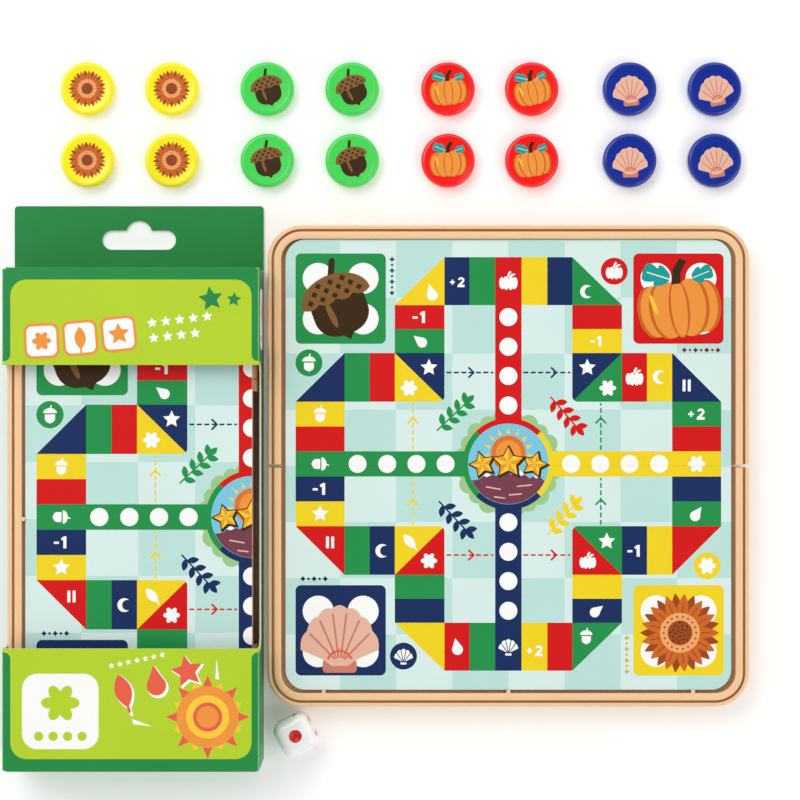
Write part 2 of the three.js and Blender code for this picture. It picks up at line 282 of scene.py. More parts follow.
def ellipse(cx, cy, rx, ry=None, rot=0.0, n=32):
    ry = rx if ry is None else ry
    c, s = math.cos(rot), math.sin(rot)
    out = []
    for k in range(n):
        a = 2 * math.pi * k / n
        x, y = rx * math.cos(a), ry * math.sin(a)
        out.append((cx + c * x - s * y, cy + s * x + c * y))
    return out


def sector(r0, r1, a0, a1, n=20, cx=0.0, cy=0.0):
    out = [(cx + r1 * math.cos(a0 + (a1 - a0) * k / n), cy + r1 * math.sin(a0 + (a1 - a0) * k / n)) for k in range(n + 1)]
    out += [(cx + r0 * math.cos(a1 + (a0 - a1) * k / n), cy + r0 * math.sin(a1 + (a0 - a1) * k / n)) for k in range(n + 1)]
    return out


def star(r, inner=0.45, points=5, rot=math.pi / 2):
    return [
        ((r if k % 2 == 0 else r * inner) * math.cos(rot + k * math.pi / points), (r if k % 2 == 0 else r * inner) * math.sin(rot + k * math.pi / points))
        for k in range(2 * points)
    ]


def moved(pts, x=0.0, y=0.0, rot=0.0, k=1.0):
    c, s = math.cos(rot) * k, math.sin(rot) * k
    return [(x + c * px - s * py, y + s * px + c * py) for px, py in pts]


def placed(shapes, x=0.0, y=0.0, rot=0.0, k=1.0):
    return [(m, moved(p, x, y, rot, k)) for m, p in shapes]


def bar_between(a, b, w, round_ends=True):
    ax, ay = a
    bx, by = b
    d = math.hypot(bx - ax, by - ay)
    ang = math.atan2(by - ay, bx - ax)
    pts = rrect(-w / 2 if round_ends else 0, -w / 2, d + (w / 2 if round_ends else 0), w / 2, w / 2 if round_ends else 0, 4)
    return moved(pts, ax, ay, ang)


def lobed_leaf(lobes=3.5, wide=0.52, n=44):
    left, right = [], []
    for k in range(n + 1):
        t = k / n
        w = wide * math.sin(math.pi * min(1.0, t * 0.98 + 0.01)) ** 0.65 * (1 + 0.24 * math.cos(2 * math.pi * lobes * t + 0.6))
        y = -0.85 + 1.8 * t
        left.append((-w, y + 0.12 * math.cos(2 * math.pi * lobes * t)))
        right.append((w, y + 0.12 * math.cos(2 * math.pi * lobes * t)))
    return right + left[::-1]


def plain_leaf(w=0.42, n=16):
    r = [(w * math.sin(math.pi * k / n) ** 0.85, -1 + 2 * k / n) for k in range(n + 1)]
    l = [(-x, y) for x, y in r[1:-1]]
    return r + l[::-1]


# ---- four emblems, each about 2 units across ----------------------------------------------------


def acorn():
    out = []
    out.append(("brown", bar_between((0.05, 0.62), (0.22, 1.0), 0.16)))
    nut = [(0.0, -1.0)] + [(0.7 * math.sin(a) ** 0.8, -0.86 + 0.55 * (1 - math.cos(a))) for a in [math.pi * k / 24 for k in range(1, 13)]]
    nut += [(0.7, 0.2), (-0.7, 0.2)] + [(-x, y) for x, y in nut[::-1][:-1]]
    out.append(("brown", nut))
    out.append(("brown_light", ellipse(-0.24, -0.28, 0.08, 0.34, 0.1, 20)))
    cap = [(0.9 * math.cos(a), 0.08 + 0.62 * math.sin(a)) for a in [math.pi * k / 24 for k in range(25)]]
    scallops = [(-0.9 + 1.8 * k / 32, 0.08 - 0.07 * abs(math.sin(math.pi * 4 * k / 32)) * 1.2) for k in range(1, 32)]
    out.append(("brown_light", cap + scallops))
    for row, (y, n) in enumerate([(0.17, 5), (0.35, 4), (0.52, 3)]):
        for i in range(n):
            x = (i - (n - 1) / 2) * 0.32
            out.append(("brown", moved(star(0.085, 0.7, 4), x, y)))
    return out


def pumpkin(teal=True):
    out = []
    for m, x, rx in (("orange_dark", 0.66, 0.34), ("orange", 0.56, 0.36), ("orange_dark", 0.34, 0.38), ("orange", 0.26, 0.38)):
        for s in (-1, 1):
            out.append((m, ellipse(s * x, -0.2 if x > 0.5 else -0.19, rx, 0.62 if x > 0.5 else 0.69, s * -0.06, 30)))
    out.append(("orange_dark", ellipse(0, -0.19, 0.25, 0.7, n=28)))
    out.append(("orange", ellipse(0, -0.19, 0.19, 0.68, n=28)))
    out.append(("gold", ellipse(-0.6, -0.02, 0.05, 0.26, 0.25, 16)))
    out.append(("brown", [(-0.12, 0.4), (0.1, 0.4), (0.13, 0.66), (0.3, 0.92), (0.14, 1.0), (-0.05, 0.76)]))
    if teal:
        side_leaf = [("teal", lobed_leaf(2.5, 0.5)), ("ivory", bar_between((0, -0.8), (0, 0.55), 0.06))]
        out += placed(side_leaf, -0.44, 0.66, 1.15, 0.44)
        out += placed(side_leaf, 0.62, 0.56, -1.3, 0.34)
    return out


def shell():
    out = []
    a0, a1, n = math.radians(14), math.radians(166), 70
    edge = []
    for k in range(n + 1):
        a = a0 + (a1 - a0) * k / n
        r = 1.42 * (1 + 0.045 * abs(math.sin(7 * math.pi * k / n)) - 0.03)
        edge.append((r * math.cos(a) * 0.72, -0.72 + r * math.sin(a)))
    body = edge + [(-0.42, -0.62), (-0.2, -0.78), (0.2, -0.78), (0.42, -0.62)]
    out.append(("pink_dark", rrect(-0.42, -0.95, 0.42, -0.62, 0.08, 3)))
    out.append(("pink", body))
    for k in range(1, 7):
        a = a0 + (a1 - a0) * k / 7
        out.append(("pink_dark", bar_between((0.16 * math.cos(a), -0.66 + 0.1 * math.sin(a)), (1.24 * math.cos(a) * 0.72, -0.72 + 1.24 * math.sin(a)), 0.05)))
    out.append(("coral", sector(0.28, 0.34, math.radians(20), math.radians(160), 14, 0, -0.72)))
    return out


def sunflower():
    out = []
    for k in range(13):
        a = 2 * math.pi * (k + 0.5) / 13
        out.append(("rust", moved(plain_leaf(0.34), 0.62 * math.cos(a), 0.62 * math.sin(a), a - math.pi / 2, 0.38)))
    for k in range(13):
        a = 2 * math.pi * k / 13
        out.append(("mane", moved(plain_leaf(0.36), 0.6 * math.cos(a), 0.6 * math.sin(a), a - math.pi / 2, 0.38)))
        out.append(("rust", bar_between((0.5 * math.cos(a), 0.5 * math.sin(a)), (0.76 * math.cos(a), 0.76 * math.sin(a)), 0.025)))
    out.append(("face", ellipse(0, 0, 0.5, n=32)))
    out.append(("rust", ellipse(0, 0, 0.31, n=28)))
    for k in range(21):
        a = k * 2.39996
        r = 0.058 * math.sqrt(k + 0.4)
        out.append(("brown", ellipse(r * math.cos(a), r * math.sin(a), 0.024, n=8)))
    for k in range(18):
        a = 2 * math.pi * k / 18
        out.append(("brown_light", ellipse(0.405 * math.cos(a), 0.405 * math.sin(a), 0.028, n=8)))
    return out


def w_pumpkin():
    out = []
    for s in (-1, 1):
        out.append(("white", ellipse(s * 0.62, -0.2, 0.3, 0.6, s * -0.06, 20)))
        out.append(("white", ellipse(s * 0.24, -0.2, 0.3, 0.68, s * -0.03, 20)))
    out.append(("white", [(-0.12, 0.38), (0.1, 0.38), (0.13, 0.66), (0.32, 0.94), (0.14, 1.02), (-0.06, 0.76)]))
    out.append(("white", moved(plain_leaf(0.42), 0.42, 0.62, -1.25, 0.3)))
    return out


def w_leaf():
    leaf = [(x * 0.9, y) for x, y in plain_leaf(0.55)]
    return [("white", leaf), ("white", bar_between((0, -1.25), (0, -0.8), 0.16))]


def w_flower():
    out = []
    for k in range(6):
        a = 2 * math.pi * k / 6
        out.append(("white", ellipse(0.5 * math.cos(a), 0.5 * math.sin(a), 0.42, 0.28, a, 14)))
    out.append(("white", ellipse(0, 0, 0.3, n=12)))
    return out


def w_shell():
    a0, a1 = math.radians(20), math.radians(160)
    out = []
    for k in range(5):
        b0 = a0 + (a1 - a0) * (k + 0.08) / 5
        b1 = a0 + (a1 - a0) * (k + 0.92) / 5
        bm = (b0 + b1) / 2
        out.append(("white", [(0.2 * math.cos(bm), -0.75 + 0.2 * math.sin(bm))] + [(1.6 * math.cos(b0 + (b1 - b0) * i / 5) * 0.75, -0.75 + (1.5 + 0.1 * math.sin(math.pi * i / 5)) * math.sin(b0 + (b1 - b0) * i / 5)) for i in range(6)]))
    out.append(("white", rrect(-0.35, -0.98, 0.35, -0.74, 0.06, 2)))
    return out


def w_acorn():
    return [
        ("white", [(0.0, -1.0)] + [(0.55 * math.sin(math.pi * k / 16), -0.9 + 0.9 * (1 - math.cos(math.pi * k / 16)) / 2) for k in range(1, 9)] + [(0.55, 0.02), (-0.55, 0.02)] + [(-0.55 * math.sin(math.pi * k / 16), -0.9 + 0.9 * (1 - math.cos(math.pi * k / 16)) / 2) for k in range(8, 0, -1)]),
        ("white", [(0.74 * math.cos(math.pi * k / 14), 0.16 + 0.55 * math.sin(math.pi * k / 14)) for k in range(15)]),
        ("white", bar_between((0, 0.6), (0.14, 0.95), 0.14)),
    ]


def w_star():
    return [("white", star(1.0, 0.48))]


def w_moon():
    pts = [(0.95 * math.cos(math.radians(a)), 0.95 * math.sin(math.radians(a))) for a in range(50, 311, 13)]
    pts += [(0.42 + 0.72 * math.cos(math.radians(a)), 0.72 * math.sin(math.radians(a))) for a in range(286, 73, -13)]
    return [("white", pts)]


def w_drop():
    return [("white", [(0, 1.0)] + [(0.62 * math.cos(math.radians(40 - 260 * k / 18)), -0.32 + 0.62 * math.sin(math.radians(40 - 260 * k / 18))) for k in range(19)])]


def w_bars():
    return [("white", rrect(-0.55, -0.8, -0.15, 0.8, 0.1, 3)), ("white", rrect(0.15, -0.8, 0.55, 0.8, 0.1, 3))]


def digit_one():
    return [(-0.22, -1), (0.3, -1), (0.3, 1), (-0.12, 1), (-0.62, 0.62), (-0.42, 0.28), (-0.22, 0.42)]


def digit_two():
    outer = [(0.66 * math.cos(math.radians(a)), 0.38 + 0.62 * math.sin(math.radians(a))) for a in range(168, -41, -16)]
    inner = [(0.22 * math.cos(math.radians(a)), 0.38 + 0.22 * math.sin(math.radians(a))) for a in range(-32, 169, 20)]
    return outer + [(0.02, -0.52), (0.68, -0.52), (0.68, -1), (-0.72, -1), (-0.72, -0.62)] + inner


def w_plus_two():
    return [
        ("white", rect(-1.5, -0.16, -0.5, 0.16)),
        ("white", rect(-1.16, -0.5, -0.84, 0.5)),
        ("white", moved(digit_two(), 0.75, 0)),
    ]


def w_minus_one():
    return [("white", rect(-1.25, -0.26, -0.4, 0.12)), ("white", moved(digit_one(), 0.55, 0))]


# =================================================================================================
# The play surface's print, in artwork units from the middle of the track (2 units above the fold)
# =================================================================================================


def board_art():
    out = []

    def add(m, p):
        out.append((m, p))

    def put(shapes, x, y, k, rot=0.0):
        out.extend(placed(shapes, x, y, rot, k))

    e, p = 226.0, 56.2
    for i in range(8):
        for j in range(8):
            if (i + j) % 2:
                add("aqua_light", rect(-4 * p + i * p, 4 * p - 2 - (j + 1) * p, -4 * p + (i + 1) * p, 4 * p - 2 - j * p))

    x1, x2, x3, x4, x5, x6 = 39.0, 64.0, 113.7, 138.8, 164.0, 213.0
    y1, y2, y3, y4, y5, y6 = 37.5, 62.3, 111.0, 135.0, 159.0, 207.0
    cx, cy = 13.2, 12.6

    # scalloped ring of leaves round the middle
    for k in range(20):
        a = 2 * math.pi * (k + 0.5) / 20
        add("bush", ellipse(44.5 * math.cos(a), 44.5 * math.sin(a), 9.6 if k % 2 else 8.2, n=18))

    # home columns
    add("red", rect(-cx, 40, cx, y6))
    add("navy", rect(-cx, -y6, cx, -40))
    add("green", rect(-x6, -cy, -40, cy))
    add("yellow", rect(40, -cy, x6, cy))

    # the four outer rows
    add("yellow", [(-x3, y5), (-x2, y5), (-x2, y6)])
    add("navy", rect(-x2, y5, -x1, y6))
    add("green", rect(-x1, y5, -cx, y6))
    add("yellow", rect(cx, y5, x1, y6))
    add("navy", rect(x1, y5, x2, y6))
    add("green", [(x2, y5), (x3, y5), (x2, y6)])

    add("yellow", [(-x3, -y5), (-x2, -y6), (-x2, -y5)])
    add("red", rect(-x2, -y6, -x1, -y5))
    add("green", rect(-x1, -y6, -cx, -y5))
    add("yellow", rect(cx, -y6, x1, -y5))
    add("red", rect(x1, -y6, x2, -y5))
    add("green", [(x2, -y5), (x2, -y6), (x3, -y5)])

    add("navy", [(-x6, y2), (-x5, y2), (-x5, y3)])
    add("yellow", rect(-x6, y1, -x5, y2))
    add("red", rect(-x6, cy, -x5, y1))
    add("navy", rect(-x6, -y1, -x5, -cy))
    add("yellow", rect(-x6, -y2, -x5, -y1))
    add("red", [(-x6, -y2), (-x5, -y3), (-x5, -y2)])

    add("navy", [(x5, y2), (x6, y2), (x5, y3)])
    add("green", rect(x5, y1, x6, y2))
    add("red", rect(x5, cy, x6, y1))
    add("navy", rect(x5, -y1, x6, -cy))
    add("green", rect(x5, -y2, x6, -y1))
    add("red", [(x5, -y2), (x5, -y3), (x6, -y2)])

    # inner runs
    add("red", rect(-x3, y4, -x2, y5))
    add("green", rect(-x3, y3, -x2, y4))
    add("red", rect(x2, y4, x3, y5))
    add("yellow", rect(x2, y3, x3, y4))
    add("green", rect(-x3, -y4, -x2, -y3))
    add("navy", rect(-x3, -y5, -x2, -y4))
    add("yellow", rect(x2, -y4, x3, -y3))
    add("navy", rect(x2, -y5, x3, -y4))

    add("green", rect(-x5, y2, -x4, y3))
    add("red", rect(-x4, y2, -x3, y3))
    add("red", rect(x3, y2, x4, y3))
    add("yellow", rect(x4, y2, x5, y3))
    add("green", rect(-x5, -y3, -x4, -y2))
    add("navy", rect(-x4, -y3, -x3, -y2))
    add("navy", rect(x3, -y3, x4, -y2))
    add("yellow", rect(x4, -y3, x5, -y2))

    # split corner squares, rounded towards the middle
    r, w_, h_ = 5.4, x3 - x2, y3 - y2
    for sx, sy, ma, mb in ((-1, 1, "navy", "yellow"), (1, 1, "navy", "green"), (-1, -1, "red", "yellow"), (1, -1, "red", "green")):
        arc = [(r - r * math.cos(a), r - r * math.sin(a)) for a in [math.pi / 4 * k / 4 for k in range(5)]]
        for m, half in (
            (ma, [(w_, h_), (0, h_)] + arc),
            (mb, [(w_, h_), (w_, 0)] + [(v, u) for u, v in arc]),
        ):
            add(m, [(sx * (x2 + u), sy * (y2 + v)) for u, v in half])

    # spots along the home columns
    for v in (58.5, 88.0, 117.3, 147.0):
        add("white", ellipse(0, v, 9.0, n=28))
        add("white", ellipse(0, -v, 9.0, n=28))
    for u in (62.8, 92.0, 121.3, 151.0):
        add("white", ellipse(-u, 0, 9.0, n=28))
        add("white", ellipse(u, 0, 9.0, n=28))

    # middle
    for k, m in enumerate(["yellow", "red", "green", "navy"]):
        a = math.pi / 2 * k
        add(m, sector(0.0, 46.0, a - math.pi / 4, a + math.pi / 4, 22))
    add("sky", ellipse(0, 0, 40.5, n=64))
    sx, sy = 0.0, 11.0
    for k in range(9):
        a = math.radians(-6 + 24 * k)
        add("gold", [(sx + 19.5 * math.cos(a - 0.1), sy + 19.5 * math.sin(a - 0.1)), (sx + 26 * math.cos(a), sy + 26 * math.sin(a)), (sx + 19.5 * math.cos(a + 0.1), sy + 19.5 * math.sin(a + 0.1))])
    add("sun", ellipse(sx, sy, 17.5, n=40))
    add("orange", ellipse(sx, sy, 12.6, n=36))
    hill = [(40.2 * math.cos(a), 40.2 * math.sin(a)) for a in [math.radians(203 + 134 * k / 30) for k in range(31)]]
    hill += [(36, -17), (29, -10.5), (21, -14.5), (12, -6.5), (3, -11), (-4, -5.0), (-12, -12), (-21, -8.5), (-29, -15.5), (-36, -16.5)]
    add("maroon", hill)
    for pts in (
        [(12, -6.5), (16.5, -10.5), (12.5, -12.0), (9.5, -9.0)],
        [(-4, -5.0), (0.5, -9.0), (-3.5, -11.0), (-8.5, -9.0)],
        [(29, -10.5), (32.5, -13.8), (27.5, -14.5), (25.5, -12.2)],
        [(-21, -8.5), (-17, -11.2), (-21.5, -13.2), (-25, -11.9)],
    ):
        add("white", pts)
    for (a, b) in [((-22, -23), (-8, -25.5)), ((1, -31), (13, -30)), ((9, -22.5), (23, -21)), ((-14, -33), (-4, -34.2))]:
        add("pink", bar_between(a, b, 1.4))
    for x, y, r_, t in ((-26.0, -0.4, 12.2, 0.3), (26.0, -0.4, 12.2, -0.3), (0.0, 1.5, 15.4, 0.0)):
        out.append(("brown", moved(star(r_ + 3.0, 0.52, 5), x + 1.0, y - 1.0, t)))
        out.append(("brown", moved(star(r_ + 2.2, 0.52, 5), x, y, t)))
        out.append(("gold", moved(star(r_, 0.52, 5), x, y, t)))
        for k in range(5):
            a = math.pi / 2 + 2 * math.pi * k / 5
            b = a - math.pi / 5
            out.append(("amber", moved([(0, 0), (0.52 * r_ * math.cos(b), 0.52 * r_ * math.sin(b)), (r_ * math.cos(a), r_ * math.sin(a))], x, y, t)))

    # dashed guides with open arrow heads
    def guide(m, a, b, f):
        ax, ay = a
        bx, by = b
        d = math.hypot(bx - ax, by - ay)
        ux, uy = (bx - ax) / d, (by - ay) / d
        t = 0.0
        while t < d - 0.5:
            t2 = min(d, t + 5.0)
            add(m, bar_between((ax + ux * t, ay + uy * t), (ax + ux * t2, ay + uy * t2), 1.7, False))
            t += 7.4
        hx, hy = ax + ux * d * f, ay + uy * d * f
        for s in (-1, 1):
            add(m, bar_between((hx, hy), (hx - ux * 4.8 - uy * 4.7 * s, hy - uy * 4.8 + ux * 4.7 * s), 1.9))

    for m, v in (("navy", 91.5), ("red", -91.2)):
        guide(m, (-62, v), (-15, v), 0.58)
        guide(m, (15, v), (62, v), 0.7)
    for m, u in (("yellow", -95.5), ("green", 92.6)):
        guide(m, (u, -61), (u, -14), 0.54)
        guide(m, (u, 14), (u, 61), 0.68)

    # a run of leaves in each player's colour, across the diagonals
    for m, (ux, uy), rot in (("green", (-54.5, 49.5), 0.76), ("red", (57.5, 49.5), -0.86), ("navy", (-53.5, -54.5), -0.82), ("yellow", (55.0, -53.5), 0.84)):
        dx, dy = math.cos(rot), math.sin(rot)
        add(m, bar_between((ux - dx * 23, uy - dy * 23), (ux + dx * 17, uy + dy * 17), 1.6))
        for k in range(4):
            for s in (-1, 1):
                t = -17.5 + 10.4 * k + (2.2 if s > 0 else 0.0)
                a = rot + s * 0.95
                px, py = ux + dx * t + 5.6 * math.cos(a), uy + dy * t + 5.6 * math.sin(a)
                add(m, moved(plain_leaf(0.5), px, py, a - math.pi / 2, 6.2))
        add(m, moved(plain_leaf(0.5), ux + dx * 22, uy + dy * 22, rot - math.pi / 2, 6.0))

    # home pads
    pads = [
        ("green", -167.9, 165.5, 0.0, acorn(), 0.35, 40, (-3.5, -3)),
        ("red", 170.3, 165.5, 0.0, pumpkin(), 0.12, 42, (0, -2)),
        ("navy", -167.9, -166.6, -1.1, shell(), 0.0, 40.5, (-1, -4)),
        ("yellow", 170.4, -166.6, -0.8, sunflower(), 0.0, 40, (1.4, -2.5)),
    ]
    for m, x, y, drop, art, rot, k, (dx, dy) in pads:
        add(m, rrect(x - 45.2, y - 45.2, x + 45.2, y + 45.2, 5.6, 6))
        for sx in (-1, 1):
            for sy in (-1, 1):
                add("white", ellipse(x + sx * 22.5, y + sy * 20.3 + drop, 15.5, n=36))
        put(art, x + dx, y + dy, k, rot)

    # a short row of marks beside each pad
    for m, x, y, dx, dy, n in (
        ("green_deep", -116.5, 188, 0, -1, 7), ("red_deep", 193.0, 114, 1, 0, 7),
        ("navy_deep", -194.5, -115, 1, 0, 5), ("gold_dim", 118.5, -191, 0, 1, 7),
    ):
        for k in range(n):
            v = k - (n - 1) / 2
            mark = star(2.9, 0.55, 4) if k % 2 == 0 else ellipse(0, 0, 1.3, n=10)
            add(m, moved(mark, x + dx * v * 5.6, y + dy * v * 5.6))

    # round starting badges
    for m, x, y, art, k, rot in (
        ("green", -199.7, 101.2, w_acorn(), 9.2, 0.0),
        ("red", 106.0, 193.0, w_pumpkin(), 9.2, 0.0),
        ("yellow", 199.0, -102.0, w_flower(), 9.6, 0.0),
        ("navy", -105.0, -192.4, w_shell(), 8.6, 0.0),
    ):
        add(m, ellipse(x, y, 13.5, n=36))
        put(art, x, y, k, rot)

    # marks in the cells
    q = math.pi / 2
    cells = [
        (w_drop(), -77.0, 171.5, 8.6, 0.3), (w_plus_two(), -51.0, 182, 5.0, 0.0), (w_pumpkin(), 0, 183, 10.0, 0.0),
        (w_moon(), 78.5, 172.5, 7.0, 0.0), (w_minus_one(), -88.5, 147, 5.9, 0.0), (w_drop(), -88.5, 123.2, 8.2, 0.9),
        (w_star(), -79.5, 96.5, 8.8, 0.0), (w_flower(), -99.5, 76.0, 9.2, 0.0), (w_minus_one(), 88.5, 123.0, 5.3, 0.0),
        (w_star(), 79.0, 96.5, 8.8, 0.0), (w_flower(), 99.5, 76.0, 9.2, 0.0),
        (w_pumpkin(), 126.3, 87.0, 9.6, 0.0), (w_moon(), 151.4, 87.0, 7.2, 0.0), (w_bars(), 178.5, 78.5, 7.4, 0.0),
        (w_acorn(), -188.5, 49.9, 8.6, 0.0), (w_acorn(), -188.5, 0.0, 9.0, -q), (w_minus_one(), -188.5, -25.0, 5.9, 0.0),
        (w_star(), -188.5, -49.9, 8.8, 0.0), (w_bars(), -178.5, -78.5, 7.4, 0.0),
        (w_plus_two(), 188.5, 49.9, 5.6, 0.0), (w_flower(), 188.5, 0.0, 9.6, 0.0), (w_drop(), 188.5, -49.9, 8.4, -0.6),
        (w_moon(), -126.3, -87.0, 7.2, 0.0), (w_leaf(), -99.0, -77.5, 9.0, 0.7), (w_flower(), -79.5, -97.0, 9.0, 0.0),
        (w_star(), 98.5, -77.5, 8.8, 0.0), (w_pumpkin(), 79.5, -97.0, 9.0, 0.0), (w_minus_one(), 126.5, -87.0, 5.9, 0.0),
        (w_drop(), 88.5, -147, 8.0, -0.9), (w_drop(), -51.5, -183, 8.8, 0.2), (w_shell(), 0, -183, 9.0, 0.0),
        (w_plus_two(), 26.6, -187, 5.4, 0.0), (w_acorn(), 78.0, -172.5, 8.4, 0.0),
    ]
    for art, x, y, k, rot in cells:
        put(art, x, y, k, rot)
    return out


def board_shapes():
    """The print in millimetres from the middle of the board."""
    return [(m, [(x * S, (y + 2.0) * S) for x, y in p]) for m, p in board_art()]


# =================================================================================================
# Sheet pieces: a plane drawing, bent along a path if need be, with a real thickness
# =================================================================================================


def finish_mesh(name, verts, faces, mats, face_mats, smooth_angle=None):
    me = bpy.data.meshes.new(name)
    me.from_pydata([tuple(c * MM for c in v) for v in verts], [], faces)
    for m in mats:
        me.materials.append(m)
    me.polygons.foreach_set("material_index", face_mats)
    me.update()
    bm = bmesh.new()
    bm.from_mesh(me)
    bmesh.ops.recalc_face_normals(bm, faces=bm.faces)
    bm.to_mesh(me)
    bm.free()
    if smooth_angle is not None:
        me.polygons.foreach_set("use_smooth", [True] * len(me.polygons))
        me.set_sharp_from_angle(angle=math.radians(smooth_angle))
    o = bpy.data.objects.new(name, me)
    bpy.context.scene.collection.objects.link(o)
    return o


def tidy(pts):
    """Drops repeated points and turns the outline anticlockwise."""
    out = []
    for q in pts:
        if not out or math.hypot(q[0] - out[-1][0], q[1] - out[-1][1]) > 1e-4:
            out.append(q)
    if len(out) > 2 and math.hypot(out[0][0] - out[-1][0], out[0][1] - out[-1][1]) <= 1e-4:
        out.pop()
    area2 = sum(a[0] * b[1] - b[0] * a[1] for a, b in zip(out, out[1:] + out[:1]))
    return out if area2 > 0 else out[::-1]


def sheet_piece(name, base, shapes, to_mat, mapper, thick, holes=(), lines=(), base_key=None, back=None, edge=None, smooth=None, clean=1e-4):
    """base: outline, or None for loose shapes. The last shape over a point gives its colour."""
    verts, faces, edges, keys = [], [], [], []

    def add(pts, key):
        pts = tidy(pts)
        i = len(verts)
        verts.extend(Vector((float(x), float(y))) for x, y in pts)
        faces.append(list(range(i, i + len(pts))))
        keys.append(key)

    if base is not None:
        add(base, base_key)
    n_holes0 = len(faces)
    for h in holes:
        add(h, None)
    n_holes1 = len(faces)
    for m, p in shapes:
        add(p, m)
    for a, b in lines:
        i = len(verts)
        verts.extend([Vector(a), Vector(b)])
        edges.append((i, i + 1))
    vs, _, fs, _, _, of = delaunay_2d_cdt(verts, edges, faces, 1, clean, True)
    used, tris, cols = {}, [], []
    index = {}
    mats = []
    for f, ids in zip(fs, of):
        ids = set(ids)
        if not ids:
            continue
        if base is not None and 0 not in ids:
            continue
        if any(n_holes0 <= i < n_holes1 for i in ids):
            continue
        a, b, c = (vs[i] for i in f[:3])
        if abs((b - a).cross(c - a)) < 1e-9:
            continue
        key = keys[max(ids)]
        if key not in index:
            index[key] = len(mats)
            mats.append(to_mat(key))
        for i in f:
            used.setdefault(i, len(used))
        tris.append([used[i] for i in f])
        cols.append(index[key])
    order = sorted(used, key=lambda i: used[i])
    n = len(order)
    top = [mapper(vs[i].x, vs[i].y, 0.0) for i in order]
    bot = [mapper(vs[i].x, vs[i].y, -thick) for i in order]
    back_i = len(mats)
    mats.append(back or CORE)
    edge_i = len(mats)
    mats.append(edge or CORE)
    out_faces = list(tris)
    out_cols = list(cols)
    count = {}
    for t in tris:
        for k in range(len(t)):
            e = (t[k], t[(k + 1) % len(t)])
            count[e] = count.get(e, 0) + 1
    for t in tris:
        out_faces.append([i + n for i in reversed(t)])
        out_cols.append(back_i)
    for (a, b) in count:
        if (b, a) not in count:
            out_faces.append([b, a, a + n, b + n])
            out_cols.append(edge_i)
    return finish_mesh(name, top + bot, out_faces, mats, out_cols, smooth)


def flat_map(z, ox=OX, oy=OY, turn=None, flip=False):
    """Puts a drawing flat at height z. With flip it faces down."""

    def f(x, y, w):
        if turn:
            x, y = turn(x, y)
        return (x + ox, y + oy, z + (-w if flip else w))

    return f


def rounded_path(points, radii, closed=False, n=4):
    """A polyline with rounded corners: list of (position, outward normal), the outside being on its left."""
    pts = [Vector(p) for p in points]
    out = []
    m = len(pts)
    for i, p in enumerate(pts):
        if not closed and i in (0, m - 1):
            d = (pts[1] - pts[0]) if i == 0 else (pts[-1] - pts[-2])
            d.normalize()
            out.append((p, Vector((-d.y, d.x))))
            continue
        a, b = pts[i - 1], pts[(i + 1) % m]
        d0, d1 = (p - a).normalized(), (b - p).normalized()
        n0, n1 = Vector((-d0.y, d0.x)), Vector((-d1.y, d1.x))
        r = radii[i]
        turn = d0.cross(d1)
        ang = math.atan2(turn, d0.dot(d1))
        t = r * math.tan(abs(ang) / 2)
        start = p - d0 * t
        centre = start - n0 * r if turn < 0 else start + n0 * r
        for k in range(n + 1):
            a_ = ang * k / n
            c, s = math.cos(a_), math.sin(a_)
            nn = Vector((n0.x * c - n0.y * s, n0.x * s + n0.y * c))
            out.append((centre + nn * r if turn < 0 else centre - nn * r, nn))
    if closed:
        out.append(out[0])
    return out


def path_map(path, place):
    """place(p, q, v) -> millimetres in the row frame, p and q across the path, v along it."""
    ss = [0.0]
    for (a, _), (b, _) in zip(path, path[1:]):
        ss.append(ss[-1] + (b - a).length)

    def f(u, v, w):
        u = min(max(u, 0.0), ss[-1])
        k = 0
        while k < len(ss) - 2 and ss[k + 1] < u:
            k += 1
        d = ss[k + 1] - ss[k]
        t = (u - ss[k]) / d if d > 1e-9 else 0.0
        p = path[k][0].lerp(path[k + 1][0], t)
        nn = path[k][1].lerp(path[k + 1][1], t)
        q = p + nn * w
        return place(q.x, q.y, v)

    return f, ss


# =================================================================================================
# Case halves
# =================================================================================================


def loop_of(d, z, corner_r, n=14):
    r = max(0.3, corner_r - d)
    return [(x, y, z) for x, y in rrect(-CASE + d, -CASE + d, CASE - d, CASE - d, r, n)]


def obj_from(name, verts, faces):
    me = bpy.data.meshes.new(name)
    me.from_pydata([tuple(c * MM for c in v) for v in verts], [], faces)
    me.update()
    o = bpy.data.objects.new(name, me)
    bpy.context.scene.collection.objects.link(o)
    return o


def prism(points, z0, z1):
    n = len(points)
    v = [(x, y, z0) for x, y in points] + [(x, y, z1) for x, y in points]
    f = [list(range(n))[::-1], list(range(n, 2 * n))] + [[i, (i + 1) % n, n + (i + 1) % n, n + i] for i in range(n)]
    return obj_from("tool", v, f)


def bar_x(r, x0, x1, n=28):
    pts = [(r * math.cos(2 * math.pi * k / n), HINGE_Z + r * math.sin(2 * math.pi * k / n)) for k in range(n)]
    v = [(x0, y, z) for y, z in pts] + [(x1, y, z) for y, z in pts]
    f = [list(range(n))[::-1], list(range(n, 2 * n))] + [[i, (i + 1) % n, n + (i + 1) % n, n + i] for i in range(n)]
    return obj_from("tool", v, f)


def boolean(o, tool, op):
    m = o.modifiers.new("b", "BOOLEAN")
    m.operation = op
    m.solver = "EXACT"
    m.object = tool
    dg = bpy.context.evaluated_depsgraph_get()
    me = bpy.data.meshes.new_from_object(o.evaluated_get(dg))
    o.modifiers.clear()
    old = o.data
    o.data = me
    bpy.data.meshes.remove(old)
    bpy.data.objects.remove(tool, do_unlink=True)


